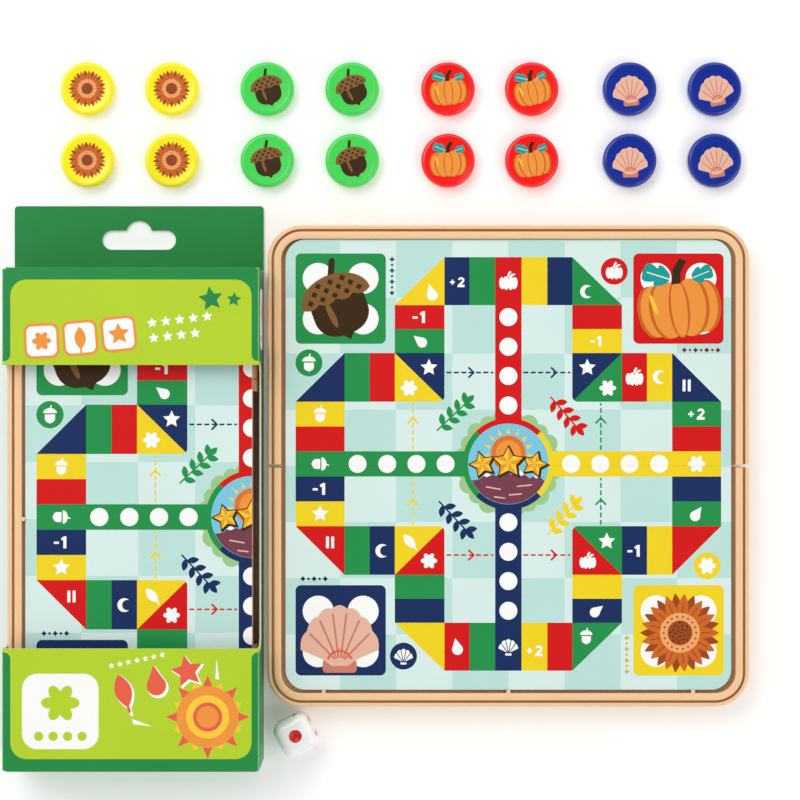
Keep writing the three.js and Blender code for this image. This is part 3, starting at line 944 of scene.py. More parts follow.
def tray_mesh(front):
    prof = [
        (5.6, 10.6), (5.0, 10.62), (4.85, 10.75), (4.8, 11.0), (4.8, 11.95), (4.72, 12.28), (4.5, 12.48), (4.1, 12.58),
        (3.5, 12.6), (2.9, 12.58), (2.5, 12.48), (2.28, 12.28), (2.2, 12.0), (2.2, 11.42), (2.12, 11.32), (1.5, 11.32), (1.4, 11.42), (1.4, 11.9), (1.32, 12.04),
        (1.18, 12.1), (0.75, 12.1), (0.42, 12.02), (0.15, 11.8), (0.0, 11.35), (0.0, 2.3), (0.1, 1.92), (0.35, 1.74),
        (0.7, 1.7), (1.6, 1.7), (1.9, 1.8), (2.0, 2.05), (2.02, 8.2), (2.2, 8.75), (2.8, 9.0),
    ]
    # faces marked 1 take the painted shade: the recess floor cap, the recess floor edge and the rail's lower inner wall
    # (rows 0 to 3), and the groove's walls and floor (rows 12 to 16)
    groove = range(13, 17)
    verts, faces, mark = [], [], []
    n = None
    for d, z in prof:
        lp = loop_of(d, z, CORNER)
        n = len(lp)
        verts += lp
    faces.append(list(range(n)))
    mark.append(1)
    for k in range(len(prof) - 1):
        a, b = k * n, (k + 1) * n
        for i in range(n):
            j = (i + 1) % n
            faces.append([a + i, b + i, b + j, a + j])
            mark.append(1 if k in groove or k == 12 or k < 4 else 0)
    faces.append(list(range((len(prof) - 1) * n, len(prof) * n))[::-1])
    mark.append(0)
    o = obj_from("tray", verts, faces)
    me = o.data
    bm = bmesh.new()
    bm.from_mesh(me)
    bmesh.ops.recalc_face_normals(bm, faces=bm.faces)
    lay = bm.faces.layers.int.new("groove")
    bm.faces.ensure_lookup_table()
    for f, g in zip(bm.faces, mark):
        f.material_index = g
    g = bm.verts[:] + bm.edges[:] + bm.faces[:]
    cut = bmesh.ops.bisect_plane(bm, geom=g, plane_co=(0, GAP * MM, 0), plane_no=(0, 1, 0), clear_inner=True, dist=1e-7)
    rim = [e for e in cut["geom_cut"] if isinstance(e, bmesh.types.BMEdge)]
    bmesh.ops.edgeloop_fill(bm, edges=rim)
    bmesh.ops.recalc_face_normals(bm, faces=bm.faces)
    bm.to_mesh(me)
    bm.free()
    me.materials.append(TRAY)
    # slot 1: painted shade for the groove and the recess
    me.materials.append(TRAY_PAINTED_SHADE)
    # rounded corners at the fold
    r = 1.4
    for s in (-1, 1):
        arc = [(CASE - r + r * math.cos(a), GAP + r + r * math.sin(a)) for a in [math.radians(-90 + 90 * k / 6) for k in range(7)]]
        pts = [(s * x, y) for x, y in arc] + [(s * (CASE + 1), GAP + r), (s * (CASE + 1), GAP - 1), (s * (CASE - r), GAP - 1)]
        boolean(o, prism(tidy(pts), -1, 14), "DIFFERENCE")
    # the rails stand back from the fold line
    q, edge = 0.55, 0.9
    for s in (-1, 1):
        arc = [(CASE - edge + edge * math.cos(a), q + edge + edge * math.sin(a)) for a in [math.radians(-90 + 90 * k / 5) for k in range(6)]]
        pts = [(s * 79.1, q)] + [(s * x, y) for x, y in arc] + [(s * (CASE + 1), q + edge), (s * (CASE + 1), -1), (s * 79.1, -1)]
        boolean(o, prism(tidy(pts), 0, 14), "DIFFERENCE")
    # the spine closes the hollow at the fold, a hair behind the faces above it
    x1, y1, y2, y3 = 79.13, GAP + 0.03, q + 0.03, GAP + 1.6
    spine = [(-CASE + 1.0, y2), (-x1 + 0.06, y2), (-x1 + 0.06, y1), (x1 - 0.06, y1), (x1 - 0.06, y2), (CASE - 1.0, y2), (CASE - 1.0, y3), (-CASE + 1.0, y3)]
    boolean(o, prism(spine, RIM + 0.02, 9.5), "UNION")
    inner = CASE - 2.0
    feet = (-60, 36) if not front else (60, -36)
    for x in feet:
        boolean(o, prism(rrect(x - 6, inner - 1.8, x + 6, inner + 0.5, [0.4, 0.4, 0, 0], 3), 2.2, 9.5), "UNION")
        boolean(o, prism(rrect(x - 6, inner - 1.8, x + 6, inner - 0.4, 0.4, 3), 0.0, 3.0), "UNION")
    boolean(o, prism(rrect(-9, inner - 4.6, 9, inner + 0.5, [0.8, 0.8, 0, 0], 4), RIM, 6.0), "UNION")
    boolean(o, prism(rect(-7.3, inner - 3.4, 7.3, inner - 0.6), RIM - 1, 5.0), "DIFFERENCE")
    # long stiffening ribs under the play surface
    for y in (27.0, 54.0):
        boolean(o, prism(rect(-CASE + 1.4, y - 0.5, CASE - 1.4, y + 0.5), 8.3, 9.6), "UNION")
    if front:
        # mirrored in y below, so x keeps its sign
        for x in (-64.4, 0, 64.4):
            wall = CASE - 4.8
            boolean(o, prism(rrect(x - 0.7, wall - 1.1, x + 0.7, wall + 0.4, [0.4, 0.4, 0, 0], 3), 11.75, 12.25), "UNION")
    for s in (-1, 1):
        x = s * 52.0
        if not front:
            boolean(o, bar_x(1.85, x - 3.9, x + 3.9), "DIFFERENCE")
            boolean(o, bar_x(1.5, x - 8.0, x - 3.9), "UNION")
            boolean(o, bar_x(1.5, x + 3.9, x + 8.0), "UNION")
        else:
            boolean(o, bar_x(1.85, x - 8.4, x - 3.5), "DIFFERENCE")
            boolean(o, bar_x(1.85, x + 3.5, x + 8.4), "DIFFERENCE")
            boolean(o, bar_x(1.5, x - 3.5, x + 3.5), "UNION")
        boolean(o, bar_x(1.0, x - 9.5, x + 9.5, 24), "DIFFERENCE")
    me = o.data
    if front:
        me.transform(Matrix.Scale(-1, 4, (0, 1, 0)))
        bm = bmesh.new()
        bm.from_mesh(me)
        bmesh.ops.reverse_faces(bm, faces=bm.faces)
        bm.to_mesh(me)
        bm.free()
    me = me.copy()
    bpy.data.objects.remove(o, do_unlink=True)
    return me


def tray_object(name, base, matrix):
    me = base.copy()
    me.name = name
    me.transform(matrix)
    me.polygons.foreach_set("use_smooth", [True] * len(me.polygons))
    me.set_sharp_from_angle(angle=math.radians(38))
    o = bpy.data.objects.new(name, me)
    bpy.context.scene.collection.objects.link(o)
    return o


ROW = Matrix.Translation((OX * MM, OY * MM, 0))
BOX_M = ROW @ Matrix.Translation(tuple(c * MM for c in BOXED)) @ Matrix.Rotation(-math.pi / 2, 4, "Z")
FOLD_M = BOX_M @ Matrix.Translation((0, 0, 2 * HINGE_Z * MM)) @ Matrix.Rotation(math.pi, 4, "X")

rear_mesh = tray_mesh(False)
front_mesh = tray_mesh(True)
for name, base, matrix, body, node in (
    ("case_rear_shell", rear_mesh, ROW, "rear_half", "rear_tray"),
    ("case_front_shell", front_mesh, ROW, "front_half", "front_tray"),
    ("boxed_case_front_shell", front_mesh, BOX_M, "carton", "boxed_front_tray"),
    ("boxed_case_rear_shell", rear_mesh, FOLD_M, "carton", "boxed_rear_tray"),
):
    o = tray_object(name, base, matrix)
    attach(o, body)
    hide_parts(node)

# =================================================================================================
# Play sheets
# =================================================================================================

art = board_shapes()
ART_EDGE = material("sheet_edge", rgb(232, 240, 238), rough=0.4, vary=0.03, fine=1500)


def half_outline(y0, side):
    if side > 0:
        return rrect(-SHEET_X, y0, SHEET_X, SHEET_REAR, [0, 0, SHEET_R, SHEET_R], 12)
    return rrect(-SHEET_X, -SHEET_FRONT, SHEET_X, -y0, [SHEET_R, SHEET_R, 0, 0], 12)


for name, side, body, node in (("rear_print", 1, "rear_half", "rear_play_sheet"), ("front_print", -1, "front_half", "front_play_sheet")):
    o = sheet_piece(
        name, half_outline(SEAM, side), art, ink, flat_map(SHEET_Z1), SHEET_Z1 - SHEET_Z0,
        base_key="aqua_dark", back=ART_EDGE, edge=ART_EDGE,
    )
    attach(o, body)
    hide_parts(node)

# the boxed case's sheets lie with their drawing upright in the window
bx, by, bz = BOXED
left_half = rrect(-SHEET_FRONT, -SHEET_X, -SEAM, SHEET_X, [SHEET_R, 0, 0, SHEET_R], 12)
o = sheet_piece(
    "boxed_front_print", left_half, art, ink, flat_map(bz + SHEET_Z1, OX + bx, OY + by), SHEET_Z1 - PLATE_Z0,
    base_key="aqua_dark", back=STEEL, edge=ART_EDGE,
)
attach(o, "carton")
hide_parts("boxed_front_play_plate")
o = sheet_piece(
    "boxed_rear_print", rrect(SEAM, -SHEET_X, SHEET_REAR, SHEET_X, [0, SHEET_R, SHEET_R, 0], 12), art, ink,
    flat_map(bz + 2 * HINGE_Z - SHEET_Z1, OX + bx, OY + by, turn=lambda x, y: (-x, y), flip=True), SHEET_Z1 - PLATE_Z0,
    base_key="aqua_dark", back=STEEL, edge=ART_EDGE,
)
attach(o, "carton")
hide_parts("boxed_rear_play_plate")

# =================================================================================================
# Discs
# =================================================================================================


def lathe(name, profile, n, mats, mark=None, at=(0, 0, 0), angle=35):
    """profile: (r, z) from the axis to the axis."""
    verts, faces, cols = [], [], []
    rings = []
    for r, z in profile:
        if r < 1e-6:
            rings.append([len(verts)])
            verts.append((at[0], at[1], at[2] + z))
        else:
            rings.append(list(range(len(verts), len(verts) + n)))
            for k in range(n):
                a = 2 * math.pi * k / n
                verts.append((at[0] + r * math.cos(a), at[1] + r * math.sin(a), at[2] + z))
    for i in range(len(rings) - 1):
        a, b = rings[i], rings[i + 1]
        m = mark[i] if mark else 0
        for k in range(n):
            j = (k + 1) % n
            if len(a) == 1 and len(b) == 1:
                continue
            if len(a) == 1:
                faces.append([a[0], b[k], b[j]])
            elif len(b) == 1:
                faces.append([a[k], b[0], a[j]])
            else:
                faces.append([a[k], b[k], b[j], a[j]])
            cols.append(m)
    return finish_mesh(name, verts, faces, mats, cols, angle)


def join_meshes(o, others):
    """Moves the others' geometry into o, keeping materials."""
    me = o.data
    bm = bmesh.new()
    bm.from_mesh(me)
    for other in others:
        base = len(me.materials)
        for m in other.data.materials:
            me.materials.append(m)
        start = len(bm.faces)
        bm.from_mesh(other.data)
        bm.faces.ensure_lookup_table()
        for f in bm.faces[start:]:
            f.material_index += base
        bpy.data.objects.remove(other, do_unlink=True)
    bm.to_mesh(me)
    bm.free()
    me.update()


DISC_AT = {
    "yellow": [-147.9, -118.2],
    "green": [-84.6, -54.7],
    "red": [-20.9, 8.6],
    "blue": [43.1, 73.0],
}
DISC_Y = [132.6, 107.4]
DISC_R = 9.5
MAGNET_R = 6.5
EMBLEM = {"yellow": (sunflower(), 6.6, 0.0), "green": (acorn(), 6.5, 0.3), "red": (pumpkin(), 6.6, 0.1), "blue": (shell(), 6.4, 0.1)}
disc_profile = [(0, 2.4)]
disc_profile += [(MAGNET_R + d, z) for d, z in ((0.1, 2.4), (0.25, 2.3), (0.3, 2.1), (0.3, 0.25), (0.4, 0.08), (0.6, 0.0))]
disc_profile += [
    (DISC_R - d, z)
    for d, z in (
        (0.55, 0.0), (0.25, 0.08), (0.07, 0.26), (0.0, 0.55), (0.0, 3.05), (0.05, 3.47), (0.18, 3.85), (0.42, 4.15),
        (0.76, 4.36), (1.15, 4.47), (1.5, 4.48), (1.66, 4.44), (1.82, 4.42),
    )
]
disc_profile += [(0, 4.42)]
magnet_profile = [(0, 0.15)] + [(MAGNET_R - d, z) for d, z in ((0.3, 0.15), (0.1, 0.2), (0, 0.35), (0, 1.9), (0.1, 2.05), (0.3, 2.1))] + [(0, 2.1)]
for cname, cols in DISC_AT.items():
    shapes, k, rot = EMBLEM[cname]
    i = 0
    for y in DISC_Y:
        for x in cols:
            i += 1
            o = lathe(f"{cname}_playing_disc_{i}", disc_profile, 72, [DISC[cname]], at=(x + OX, y + OY, 0))
            turn = rot + (0.06 * ((i * 7) % 5 - 2))
            e = sheet_piece(
                "emblem", None, placed(shapes, 0, 0, turn, k), ink, flat_map(4.46, x + OX, y + OY), 0.1,
                back=DISC[cname], edge=DISC[cname],
            )
            join_meshes(o, [e])
            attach(o, f"{cname}_disc_{i}")
            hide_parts(f"disc_{cname}_{i}")
            m = lathe(f"{cname}_disc_magnet_{i}", magnet_profile, 48, [MAGNET], at=(x + OX, y + OY, 0))
            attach(m, f"{cname}_disc_{i}")
            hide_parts(f"disc_magnet_{cname}_{i}")

# =================================================================================================
# Die
# =================================================================================================


def make_die():
    lo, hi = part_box("die")
    cx, cy = (lo.x + hi.x) / 2 / MM, (lo.y + hi.y) / 2 / MM
    side = (hi.z - lo.z) / MM
    h = side / 2
    r = 3.1
    seg = 28
    verts, faces = [], []
    index = {}

    def vert(p):
        # soften the cube: push each point onto a rounded box
        q = Vector(p)
        core = Vector([max(-(h - r), min(h - r, c)) for c in q])
        d = q - core
        if d.length > 1e-6:
            q = core + d.normalized() * r if d.length > 0 else q
        # keep flat faces flat
        key = tuple(round(c, 4) for c in q)
        if key not in index:
            index[key] = len(verts)
            verts.append(tuple(q))
        return index[key]

    # points spaced evenly across each face
    ts = []
    for k in range(seg + 1):
        t = -1 + 2 * k / seg
        ts.append(h * t)
    for axis in range(3):
        for sgn in (-1, 1):
            for a in range(seg):
                for b in range(seg):
                    quad = []
                    for (i, j) in ((a, b), (a + 1, b), (a + 1, b + 1), (a, b + 1)):
                        p = [0, 0, 0]
                        p[axis] = sgn * h
                        p[(axis + 1) % 3] = ts[i]
                        p[(axis + 2) % 3] = ts[j]
                        quad.append(vert(p))
                    if sgn < 0:
                        quad.reverse()
                    if len(set(quad)) == 4:
                        faces.append(quad)
    o = obj_from("die_cube", verts, faces)
    o.data.materials.append(DIE)
    g = side * 0.215
    pips = {
        (2, 1): [(0, 0)],
        (2, -1): [(-g, -g), (g, g), (-g, g), (g, -g), (-g, 0), (g, 0)],
        (0, 1): [(-g, -g), (g, g), (-g, g), (g, -g)],
        (0, -1): [(-g, -g), (0, 0), (g, g)],
        (1, -1): [(-g, -g), (g, g), (-g, g), (g, -g), (0, 0)],
        (1, 1): [(-g, -g), (g, g)],
    }
    marks = []
    tool_v, tool_f = [], []
    for (axis, sgn), spots in pips.items():
        big = len(spots) == 1
        pr = 2.3 if big else 1.25
        depth = 0.6 if big else 0.42
        rad = (pr * pr + depth * depth) / (2 * depth)
        for (u, v) in spots:
            c = [0, 0, 0]
            c[axis] = sgn * (h + rad - depth)
            c[(axis + 1) % 3] = u
            c[(axis + 2) % 3] = v
            red = len(spots) in (1, 4)
            marks.append((Vector(c), rad, red))
            # a cap of a sphere is enough to cut with, but a whole ball stays closed
            nu, nv = 20, 12
            base = len(tool_v)
            A = Vector([0, 0, 0]); A[axis] = -sgn
            B = Vector([0, 0, 0]); B[(axis + 1) % 3] = 1
            C = A.cross(B)
            cap = math.asin(min(0.999, (pr * 1.5) / rad))
            tool_v.append(Vector(c) + A * rad)
            for a in range(1, nv + 1):
                ph = cap * a / nv
                for b in range(nu):
                    th = 2 * math.pi * b / nu
                    tool_v.append(Vector(c) + A * rad * math.cos(ph) + (B * math.cos(th) + C * math.sin(th)) * rad * math.sin(ph))
            for b in range(nu):
                tool_f.append([base, base + 1 + b, base + 1 + (b + 1) % nu])
            for a in range(nv - 1):
                for b in range(nu):
                    i0 = base + 1 + a * nu + b
                    i1 = base + 1 + a * nu + (b + 1) % nu
                    tool_f.append([i0, i0 + nu, i1 + nu, i1])
            tool_f.append([base + 1 + (nv - 1) * nu + b for b in range(nu)][::-1])
    tool = obj_from("tool", [tuple(p) for p in tool_v], tool_f)
    bm = bmesh.new()
    bm.from_mesh(tool.data)
    bmesh.ops.recalc_face_normals(bm, faces=bm.faces)
    bm.to_mesh(tool.data)
    bm.free()
    boolean(o, tool, "DIFFERENCE")
    me = o.data
    while len(me.materials) < 3:
        me.materials.append(None)
    me.materials[0] = DIE
    me.materials[1] = PIP_BLACK
    me.materials[2] = PIP_RED
    for p in me.polygons:
        c = p.center / MM
        p.material_index = 0
        if max(abs(c.x), abs(c.y), abs(c.z)) > h - 0.003:
            continue
        for m, rad, red in marks:
            to = m - c
            if abs(to.length - rad) < 0.03 and p.normal.dot(to.normalized()) > 0.95:
                p.material_index = 2 if red else 1
    me.transform(Matrix.Translation((cx * MM, cy * MM, h * MM)) @ Matrix.Rotation(math.radians(28), 4, "Z"))
    me.polygons.foreach_set("use_smooth", [True] * len(me.polygons))
    me.set_sharp_from_angle(angle=math.radians(30))
    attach(o, "die")
    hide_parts("die")


make_die()

# =================================================================================================
# Carton
# =================================================================================================

BOARD_T = 0.6


def board(key):
    return ink(key, True)


# cross-section, clockwise from the back-left crease, so that the outside is on the left
sec = rounded_path(
    [(CX0, CZ0), (CX0, CZ1), (CX1, CZ1), (CX1, CZ0)], [0.8, 0.8, 0.8, 0.8], closed=True, n=5,
)
sleeve_map, ss = path_map(sec, lambda p, q, v: (p + OX, v + OY, q))
D = CZ1 - CZ0
W = CX1 - CX0
# distances along the section where the panels start and end
arc = 0.8 * math.pi / 2
u_left0 = arc
u_left1 = u_left0 + D - 1.6
u_front0 = u_left1 + arc
u_front1 = u_front0 + W - 1.6
u_right0 = u_front1 + arc
u_right1 = u_right0 + D - 1.6
u_back0 = u_right1 + arc


def on_front(x):
    return u_front0 + (x - CX0 - 0.8)


def on_left(z):
    return u_left0 + (z - CZ0 - 0.8)


def on_right(z):
    return u_right0 + (CZ1 - 0.8 - z)


Y0, Y1 = CY0 + 0.7, CY1 - 0.7
L_TOTAL = ss[-1]
wy0, wy1, wz, wr = WINDOW
hole = rrect(on_left(wz), wy0, on_right(wz), wy1, wr, 6)
art_c = []


def cadd(m, p):
    art_c.append((m, p))


def cput(shapes, x, y, k, rot=0.0):
    art_c.extend(placed(shapes, x, y, rot, k))


# pale line along each long crease
for uc in (arc / 2, u_left1 + arc / 2, u_front1 + arc / 2, u_right1 + arc / 2):
    cadd("carton_line", rect(uc - 0.16, Y0, uc + 0.16, Y1))
# lime bands and the lime edging that runs round the window on to the sides
m1 = 1.3
cadd("lime", rrect(on_left(wz) - m1, wy0 - m1, on_right(wz) + m1, wy1 + m1, wr + m1, 8))
cadd("lime", rrect(on_front(CX0 + 2.9), wy1 - 2, on_front(CX1 - 2.6), Y1 - 3.6, [0, 0, 5.5, 5.5], 8))
cadd("lime", rrect(on_front(CX0 + 2.9), Y0 + 4.0, on_front(CX1 - 2.6), wy0 + 2, [5.5, 5.5, 0, 0], 8))
for xe, s in ((CX0 + 2.9, -1), (CX1 - 2.6, 1)):
    for ye, t in ((wy1 + m1, 1), (wy0 - m1, -1)):
        f = 2.2
        pts = [(on_front(xe - s * 0.6), ye - t * 0.5), (on_front(xe + s * f), ye - t * 0.5)]
        pts += [(on_front(xe + s * (f - f * math.sin(math.radians(90 * k / 6)))), ye + t * (f - f * math.cos(math.radians(90 * k / 6)))) for k in range(7)]
        pts += [(on_front(xe - s * 0.6), ye + t * f)]
        cadd("lime", pts)


def fx(x):
    return on_front(CX0 + x)


def icon_tile(x, y, art_, k, rot=0.0, fill="white", halo="orange"):
    if halo:
        cadd(halo, moved(rrect(-6.1, -6.1, 6.1, 6.1, 2.8, 6), x, y, rot))
    cadd(fill, moved(rrect(-5.1, -5.1, 5.1, 5.1, 2.0, 6), x, y, rot))
    cput(art_, x, y, k, rot)


def recolour(shapes, m):
    return [(m, p) for _, p in shapes]


# top band: three tiles with plain signs, and a run of small stars
icon_tile(fx(13.6), 43.2, recolour(w_flower(), "orange"), 3.6, 0.04)
icon_tile(fx(26.8), 44.2, recolour(w_leaf(), "orange"), 3.9, 0.08)
icon_tile(fx(40.0), 45.6, recolour(w_star(), "orange"), 3.9, 0.1)
for i in range(5):
    cput(w_star(), fx(51.4 + 4.7 * i), 49.4 + 0.55 * i, 1.85, 0.1)
for i in range(4):
    cput(w_star(), fx(52.0 + 4.7 * i), 44.2 + 0.55 * i, 1.85, 0.1)
cput(recolour(w_star(), "carton_green"), fx(71.5), 57.6, 4.4, 0.15)
cput(recolour(w_star(), "carton_green"), fx(79.4), 57.4, 2.6, -0.1)

# bottom band: white label, three coral signs, and a sun
cadd("white", rrect(fx(6.9), -96.4, fx(33.1), -70.6, 5.2, 8))
cput(recolour(w_flower(), "lime"), fx(20.0), -80.6, 7.2)
for i in range(4):
    cadd("lime", ellipse(fx(12.6 + 4.95 * i), -92.0, 1.6, n=20))
for (x, y, art_, k, rot) in ((41.5, -76.5, w_leaf(), 5.9, 0.3), (52.6, -73.0, w_drop(), 5.4, 0.15), (63.4, -69.8, w_star(), 5.7, 0.2)):
    cput(recolour(art_, "white"), fx(x + 0.55), y - 0.55, k * 1.08, rot)
    cput(recolour(art_, "coral"), fx(x), y, k, rot)
for i in range(7):
    cput(recolour(w_star(), "white"), fx(37.5 + 2.9 * i), -67.9 + 0.62 * i, 1.1, 0.2)
cadd("white", [(fx(44.4), -86.0), (fx(51.4), -88.6), (fx(45.0), -87.9)])
cadd("white", [(fx(73.4), -65.6), (fx(74.4), -72.6), (fx(73.0), -72.4)])
sun_c = (fx(70.4), -85.4)
for k in range(16):
    a = 2 * math.pi * k / 16
    tip = 14.4 if k % 2 == 0 else 12.4
    cadd("coral" if k % 2 == 0 else "gold", [(sun_c[0] + 10.3 * math.cos(a - 0.17), sun_c[1] + 10.3 * math.sin(a - 0.17)), (sun_c[0] + tip * math.cos(a), sun_c[1] + tip * math.sin(a)), (sun_c[0] + 10.3 * math.cos(a + 0.17), sun_c[1] + 10.3 * math.sin(a + 0.17))])
cadd("orange", ellipse(sun_c[0], sun_c[1], 10.6, n=48))
cadd("gold", ellipse(sun_c[0], sun_c[1], 7.4, n=40))
cadd("coral", ellipse(sun_c[0], sun_c[1], 5.0, n=36))
cadd("orange", ellipse(sun_c[0], sun_c[1], 3.8, n=32))
# side labels
uu = (on_left(3.6), on_left(21.0))
cadd("white", rrect(uu[0], 40.5, uu[1] + 1.5, 61.5, 4.2, 8))
cput(recolour(w_flower(), "orange"), (uu[0] + uu[1] + 1.5) / 2, 53.6, 4.8)
for i in range(4):
    cadd("orange", ellipse(uu[0] + 3.6 + 3.9 * i, 44.3, 1.15, n=18))
uu = (on_right(22.5), on_right(3.6))
cadd("white", rrect(uu[0], 40.5, uu[1], 61.5, 4.2, 8))
cput(recolour(w_leaf(), "orange"), (uu[0] + uu[1]) / 2, 53.6, 5.2)
for i in range(4):
    cadd("orange", ellipse(uu[0] + 3.6 + 3.9 * i, 44.3, 1.15, n=18))

# keep the drawing off the hole's edge and inside the sheet
sleeve_base = rect(0.03, Y0, L_TOTAL - 0.03, Y1)
sleeve_lines = [((u, Y0), (u, Y1)) for u in ss[1:-1]]
sleeve = sheet_piece(
    "carton_wrap", sleeve_base, art_c, board, sleeve_map, BOARD_T, holes=[hole], lines=sleeve_lines,
    base_key="carton_green", back=CORE, edge=CORE, smooth=40,
)
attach(sleeve, "carton")
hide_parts("carton_sleeve")

# dust flaps, folded in at both ends
for end, (ya, yb) in (("top", (CY1 - 1.6, CY1 - 1.0)), ("bottom", (CY0 + 1.0, CY0 + 1.6))):
    for sname, s in (("left", 1), ("right", -1)):
        xs = (CX0 + 0.3, CX0 + 20.6) if s > 0 else (CX1 - 20.6, CX1 - 0.3)
        rad = [0, 3, 2, 0] if s > 0 else [3, 0, 0, 2]
        o = sheet_piece(
            f"carton_{end}_dust_flap_{sname}", rrect(xs[0], 1.6, xs[1], 26.0, rad, 5), [], board,
            (lambda yy: (lambda x, z, w: (x + OX, yy + OY + (w if end == "top" else -w), z)))(yb if end == "top" else ya),
            0.6, base_key="carton_green",
        )
        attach(o, "carton")

# back panel with the hang tab
hx, hy = (CX0 + CX1) / 2, (CY1 + TAB_Y) / 2 - 0.5
r_, bump, rise = 3.4, 4.6, 2.2
slot_pts = [(hx + 9.6 + r_ * math.cos(math.radians(-90 + 180 * k / 12)), hy + r_ * math.sin(math.radians(-90 + 180 * k / 12))) for k in range(13)]
a0 = math.asin((r_ - rise) / bump)
slot_pts += [(hx + bump * math.cos(a0 + (math.pi - 2 * a0) * k / 14), hy + rise + bump * math.sin(a0 + (math.pi - 2 * a0) * k / 14)) for k in range(15)]
slot_pts += [(hx - 9.6 + r_ * math.cos(math.radians(90 + 180 * k / 12)), hy + r_ * math.sin(math.radians(90 + 180 * k / 12))) for k in range(13)]
back_base = rrect(CX0, CY0 + 0.7, CX1, TAB_Y, [0, 0, 1.2, 1.2], 4)
o = sheet_piece(
    "carton_back_panel", back_base, [("carton_line", rect(CX0, CY1 - 0.2, CX1, CY1 + 0.15))], board, flat_map(BOARD_T), BOARD_T, holes=[slot_pts],
    base_key="carton_green", back=board("carton_green"), edge=CORE,
)
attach(o, "carton")
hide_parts("carton_hang_panel")

# end flaps: plate and tuck lip, creased
for side, body, node in ((1, "top_flap", "carton_top_flap"), (-1, "bottom_flap", "carton_bottom_flap")):
    end = CY1 if side > 0 else CY0
    pts = [(side * end, 0.9), (side * end, 27.15), (side * end - 6.6, 27.15)]
    pth = rounded_path(pts, [0, 0.7, 0], n=5)
    # the outside is on the left of the path, so turn it over for this direction of travel
    pth = [(p, -nn) for p, nn in pth]
    fm, fs_ = path_map(pth, (lambda sd: (lambda p, q, v: (v + OX, sd * p + OY, q)))(side))
    x0, x1 = CX0 + 0.7, CX1 - 0.7
    lip0 = 26.25 - 0.7
    L = fs_[-1]
    base = [(0, x0), (lip0, x0), (lip0 + 1.2, x0 + 0.7)] + [(L - 3 + 3 * math.sin(math.radians(90 * k / 6)), x0 + 0.7 + 3 - 3 * math.cos(math.radians(90 * k / 6))) for k in range(7)]
    base += [(L - 3 + 3 * math.cos(math.radians(90 * k / 6)), x1 - 0.7 - 3 + 3 * math.sin(math.radians(90 * k / 6))) for k in range(7)]
    base += [(lip0 + 1.2, x1 - 0.7), (lip0, x1), (0, x1)]
    deco = []
    if side > 0:
        for i, (art_, dx, k) in enumerate(((w_leaf(), -15, 4.6), (w_drop(), -3, 4.2), (w_star(), 9.5, 4.6))):
            deco += placed(recolour(art_, "lime"), 11.5, (x0 + x1) / 2 + dx, -math.pi / 2, k)
        for i in range(6):
            deco += placed(recolour(w_star(), "white"), 19.0, (x0 + x1) / 2 - 12 + 3.6 * i, 0, 1.0)
    o = sheet_piece(
        f"carton_{'top' if side > 0 else 'bottom'}_tuck", base, deco, board, fm, BOARD_T,
        lines=[((u, x0 - 1), (u, x1 + 1)) for u in fs_[1:-1]], base_key="carton_green", back=CORE, edge=CORE, smooth=40,
    )
    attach(o, body)
    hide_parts(node)

# =================================================================================================
# Nodes that are shown as they are
# =================================================================================================

for node, m in {
    "rear_steel_plate": STEEL,
    "front_steel_plate": STEEL,
    "hinge_pin_left": PIN,
    "hinge_pin_right": PIN,
    "boxed_hinge_pin_upper": PIN,
    "boxed_hinge_pin_lower": PIN,
    "rear_closing_magnet": MAGNET,
    "front_closing_magnet": MAGNET,
}.items():
    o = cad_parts[node]
    if not o.material_slots:
        o.data.materials.append(m)
    for sl in o.material_slots:
        sl.link = "OBJECT"
        sl.material = m
    bv = o.modifiers.new("edges", "BEVEL")
    bv.width = 0.00012
    bv.segments = 2
    bv.limit_method = "ANGLE"
    bv.angle_limit = math.radians(40)

# =================================================================================================
# Stage
# =================================================================================================

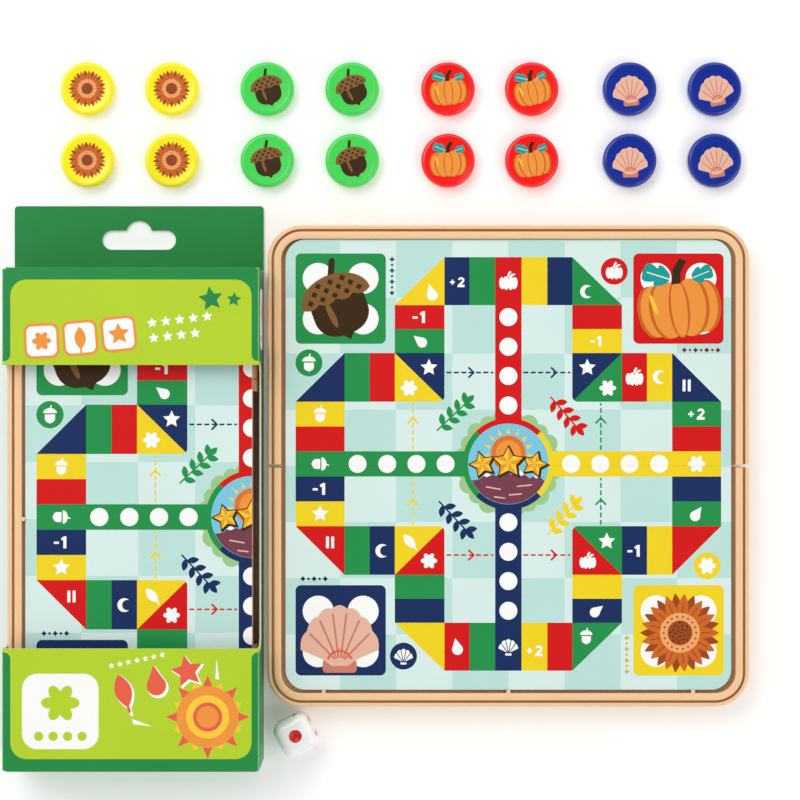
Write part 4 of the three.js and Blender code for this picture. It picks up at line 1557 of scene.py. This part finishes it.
bpy.ops.mesh.primitive_plane_add(size=6.0, location=(0, 0, -0.0003))
floor = bpy.context.object
floor.name = "floor"
fm_ = bpy.data.materials.new("floor")
fm_.use_nodes = True
fb = fm_.node_tree.nodes["Principled BSDF"]
fb.inputs["Base Color"].default_value = (0.96, 0.96, 0.96, 1)
fb.inputs["Roughness"].default_value = 0.7
fb.inputs["Emission Color"].default_value = (1, 1, 1, 1)
fb.inputs["Emission Strength"].default_value = 0.14
fb.inputs["Specular IOR Level"].default_value = 0.2
floor.data.materials.append(fm_)

world = bpy.data.worlds.new("studio") if not bpy.context.scene.world else bpy.context.scene.world
bpy.context.scene.world = world
world.use_nodes = True
wn = world.node_tree
bg = wn.nodes["Background"]
bg.inputs["Color"].default_value = (1, 1, 1, 1)
# a white tent with a darker opening overhead, so that flat print is not veiled by its reflection
wt = wn.nodes.new("ShaderNodeTexCoord")
wx = wn.nodes.new("ShaderNodeSeparateXYZ")
wr = wn.nodes.new("ShaderNodeMapRange")
wr.inputs["From Min"].default_value = 0.74
wr.inputs["From Max"].default_value = 0.96
wr.inputs["To Min"].default_value = 0.79
wr.inputs["To Max"].default_value = 0.12
wn.links.new(wt.outputs["Generated"], wx.inputs["Vector"])
wn.links.new(wx.outputs["Z"], wr.inputs["Value"])
wn.links.new(wr.outputs["Result"], bg.inputs["Strength"])


def area(name, loc, target, size, watts):
    d = bpy.data.lights.new(name, "AREA")
    d.shape = "DISK"
    d.size = size
    d.energy = watts
    o = bpy.data.objects.new(name, d)
    bpy.context.scene.collection.objects.link(o)
    o.location = loc
    o.rotation_euler = (Vector(target) - Vector(loc)).to_track_quat("-Z", "Y").to_euler()
    return o


area("key", (-0.6, 0.6, 1.15), (0, 0, 0), 1.0, 6.8)
area("fill", (0.85, -0.6, 1.0), (0, 0, 0), 1.0, 4.0)
area("rim", (0.1, 1.1, 0.8), (0, 0, 0), 0.8, 1.6)

cam = bpy.data.cameras.new("camera")
cam.lens = 110
cam.sensor_width = 36
co = bpy.data.objects.new("camera", cam)
bpy.context.scene.collection.objects.link(co)
px_mm = S
cx_ = (400 - 508.5) * px_mm + OX
cy_ = (466 - 400) * px_mm + OY
co.location = (cx_ * MM, cy_ * MM, (TOP + 800 * px_mm * cam.lens / 36.0) * MM)
co.rotation_euler = (0, 0, 0)
cam.clip_start = 0.05
cam.clip_end = 20
bpy.context.scene.camera = co
bpy.context.scene.view_settings.view_transform = "Standard"
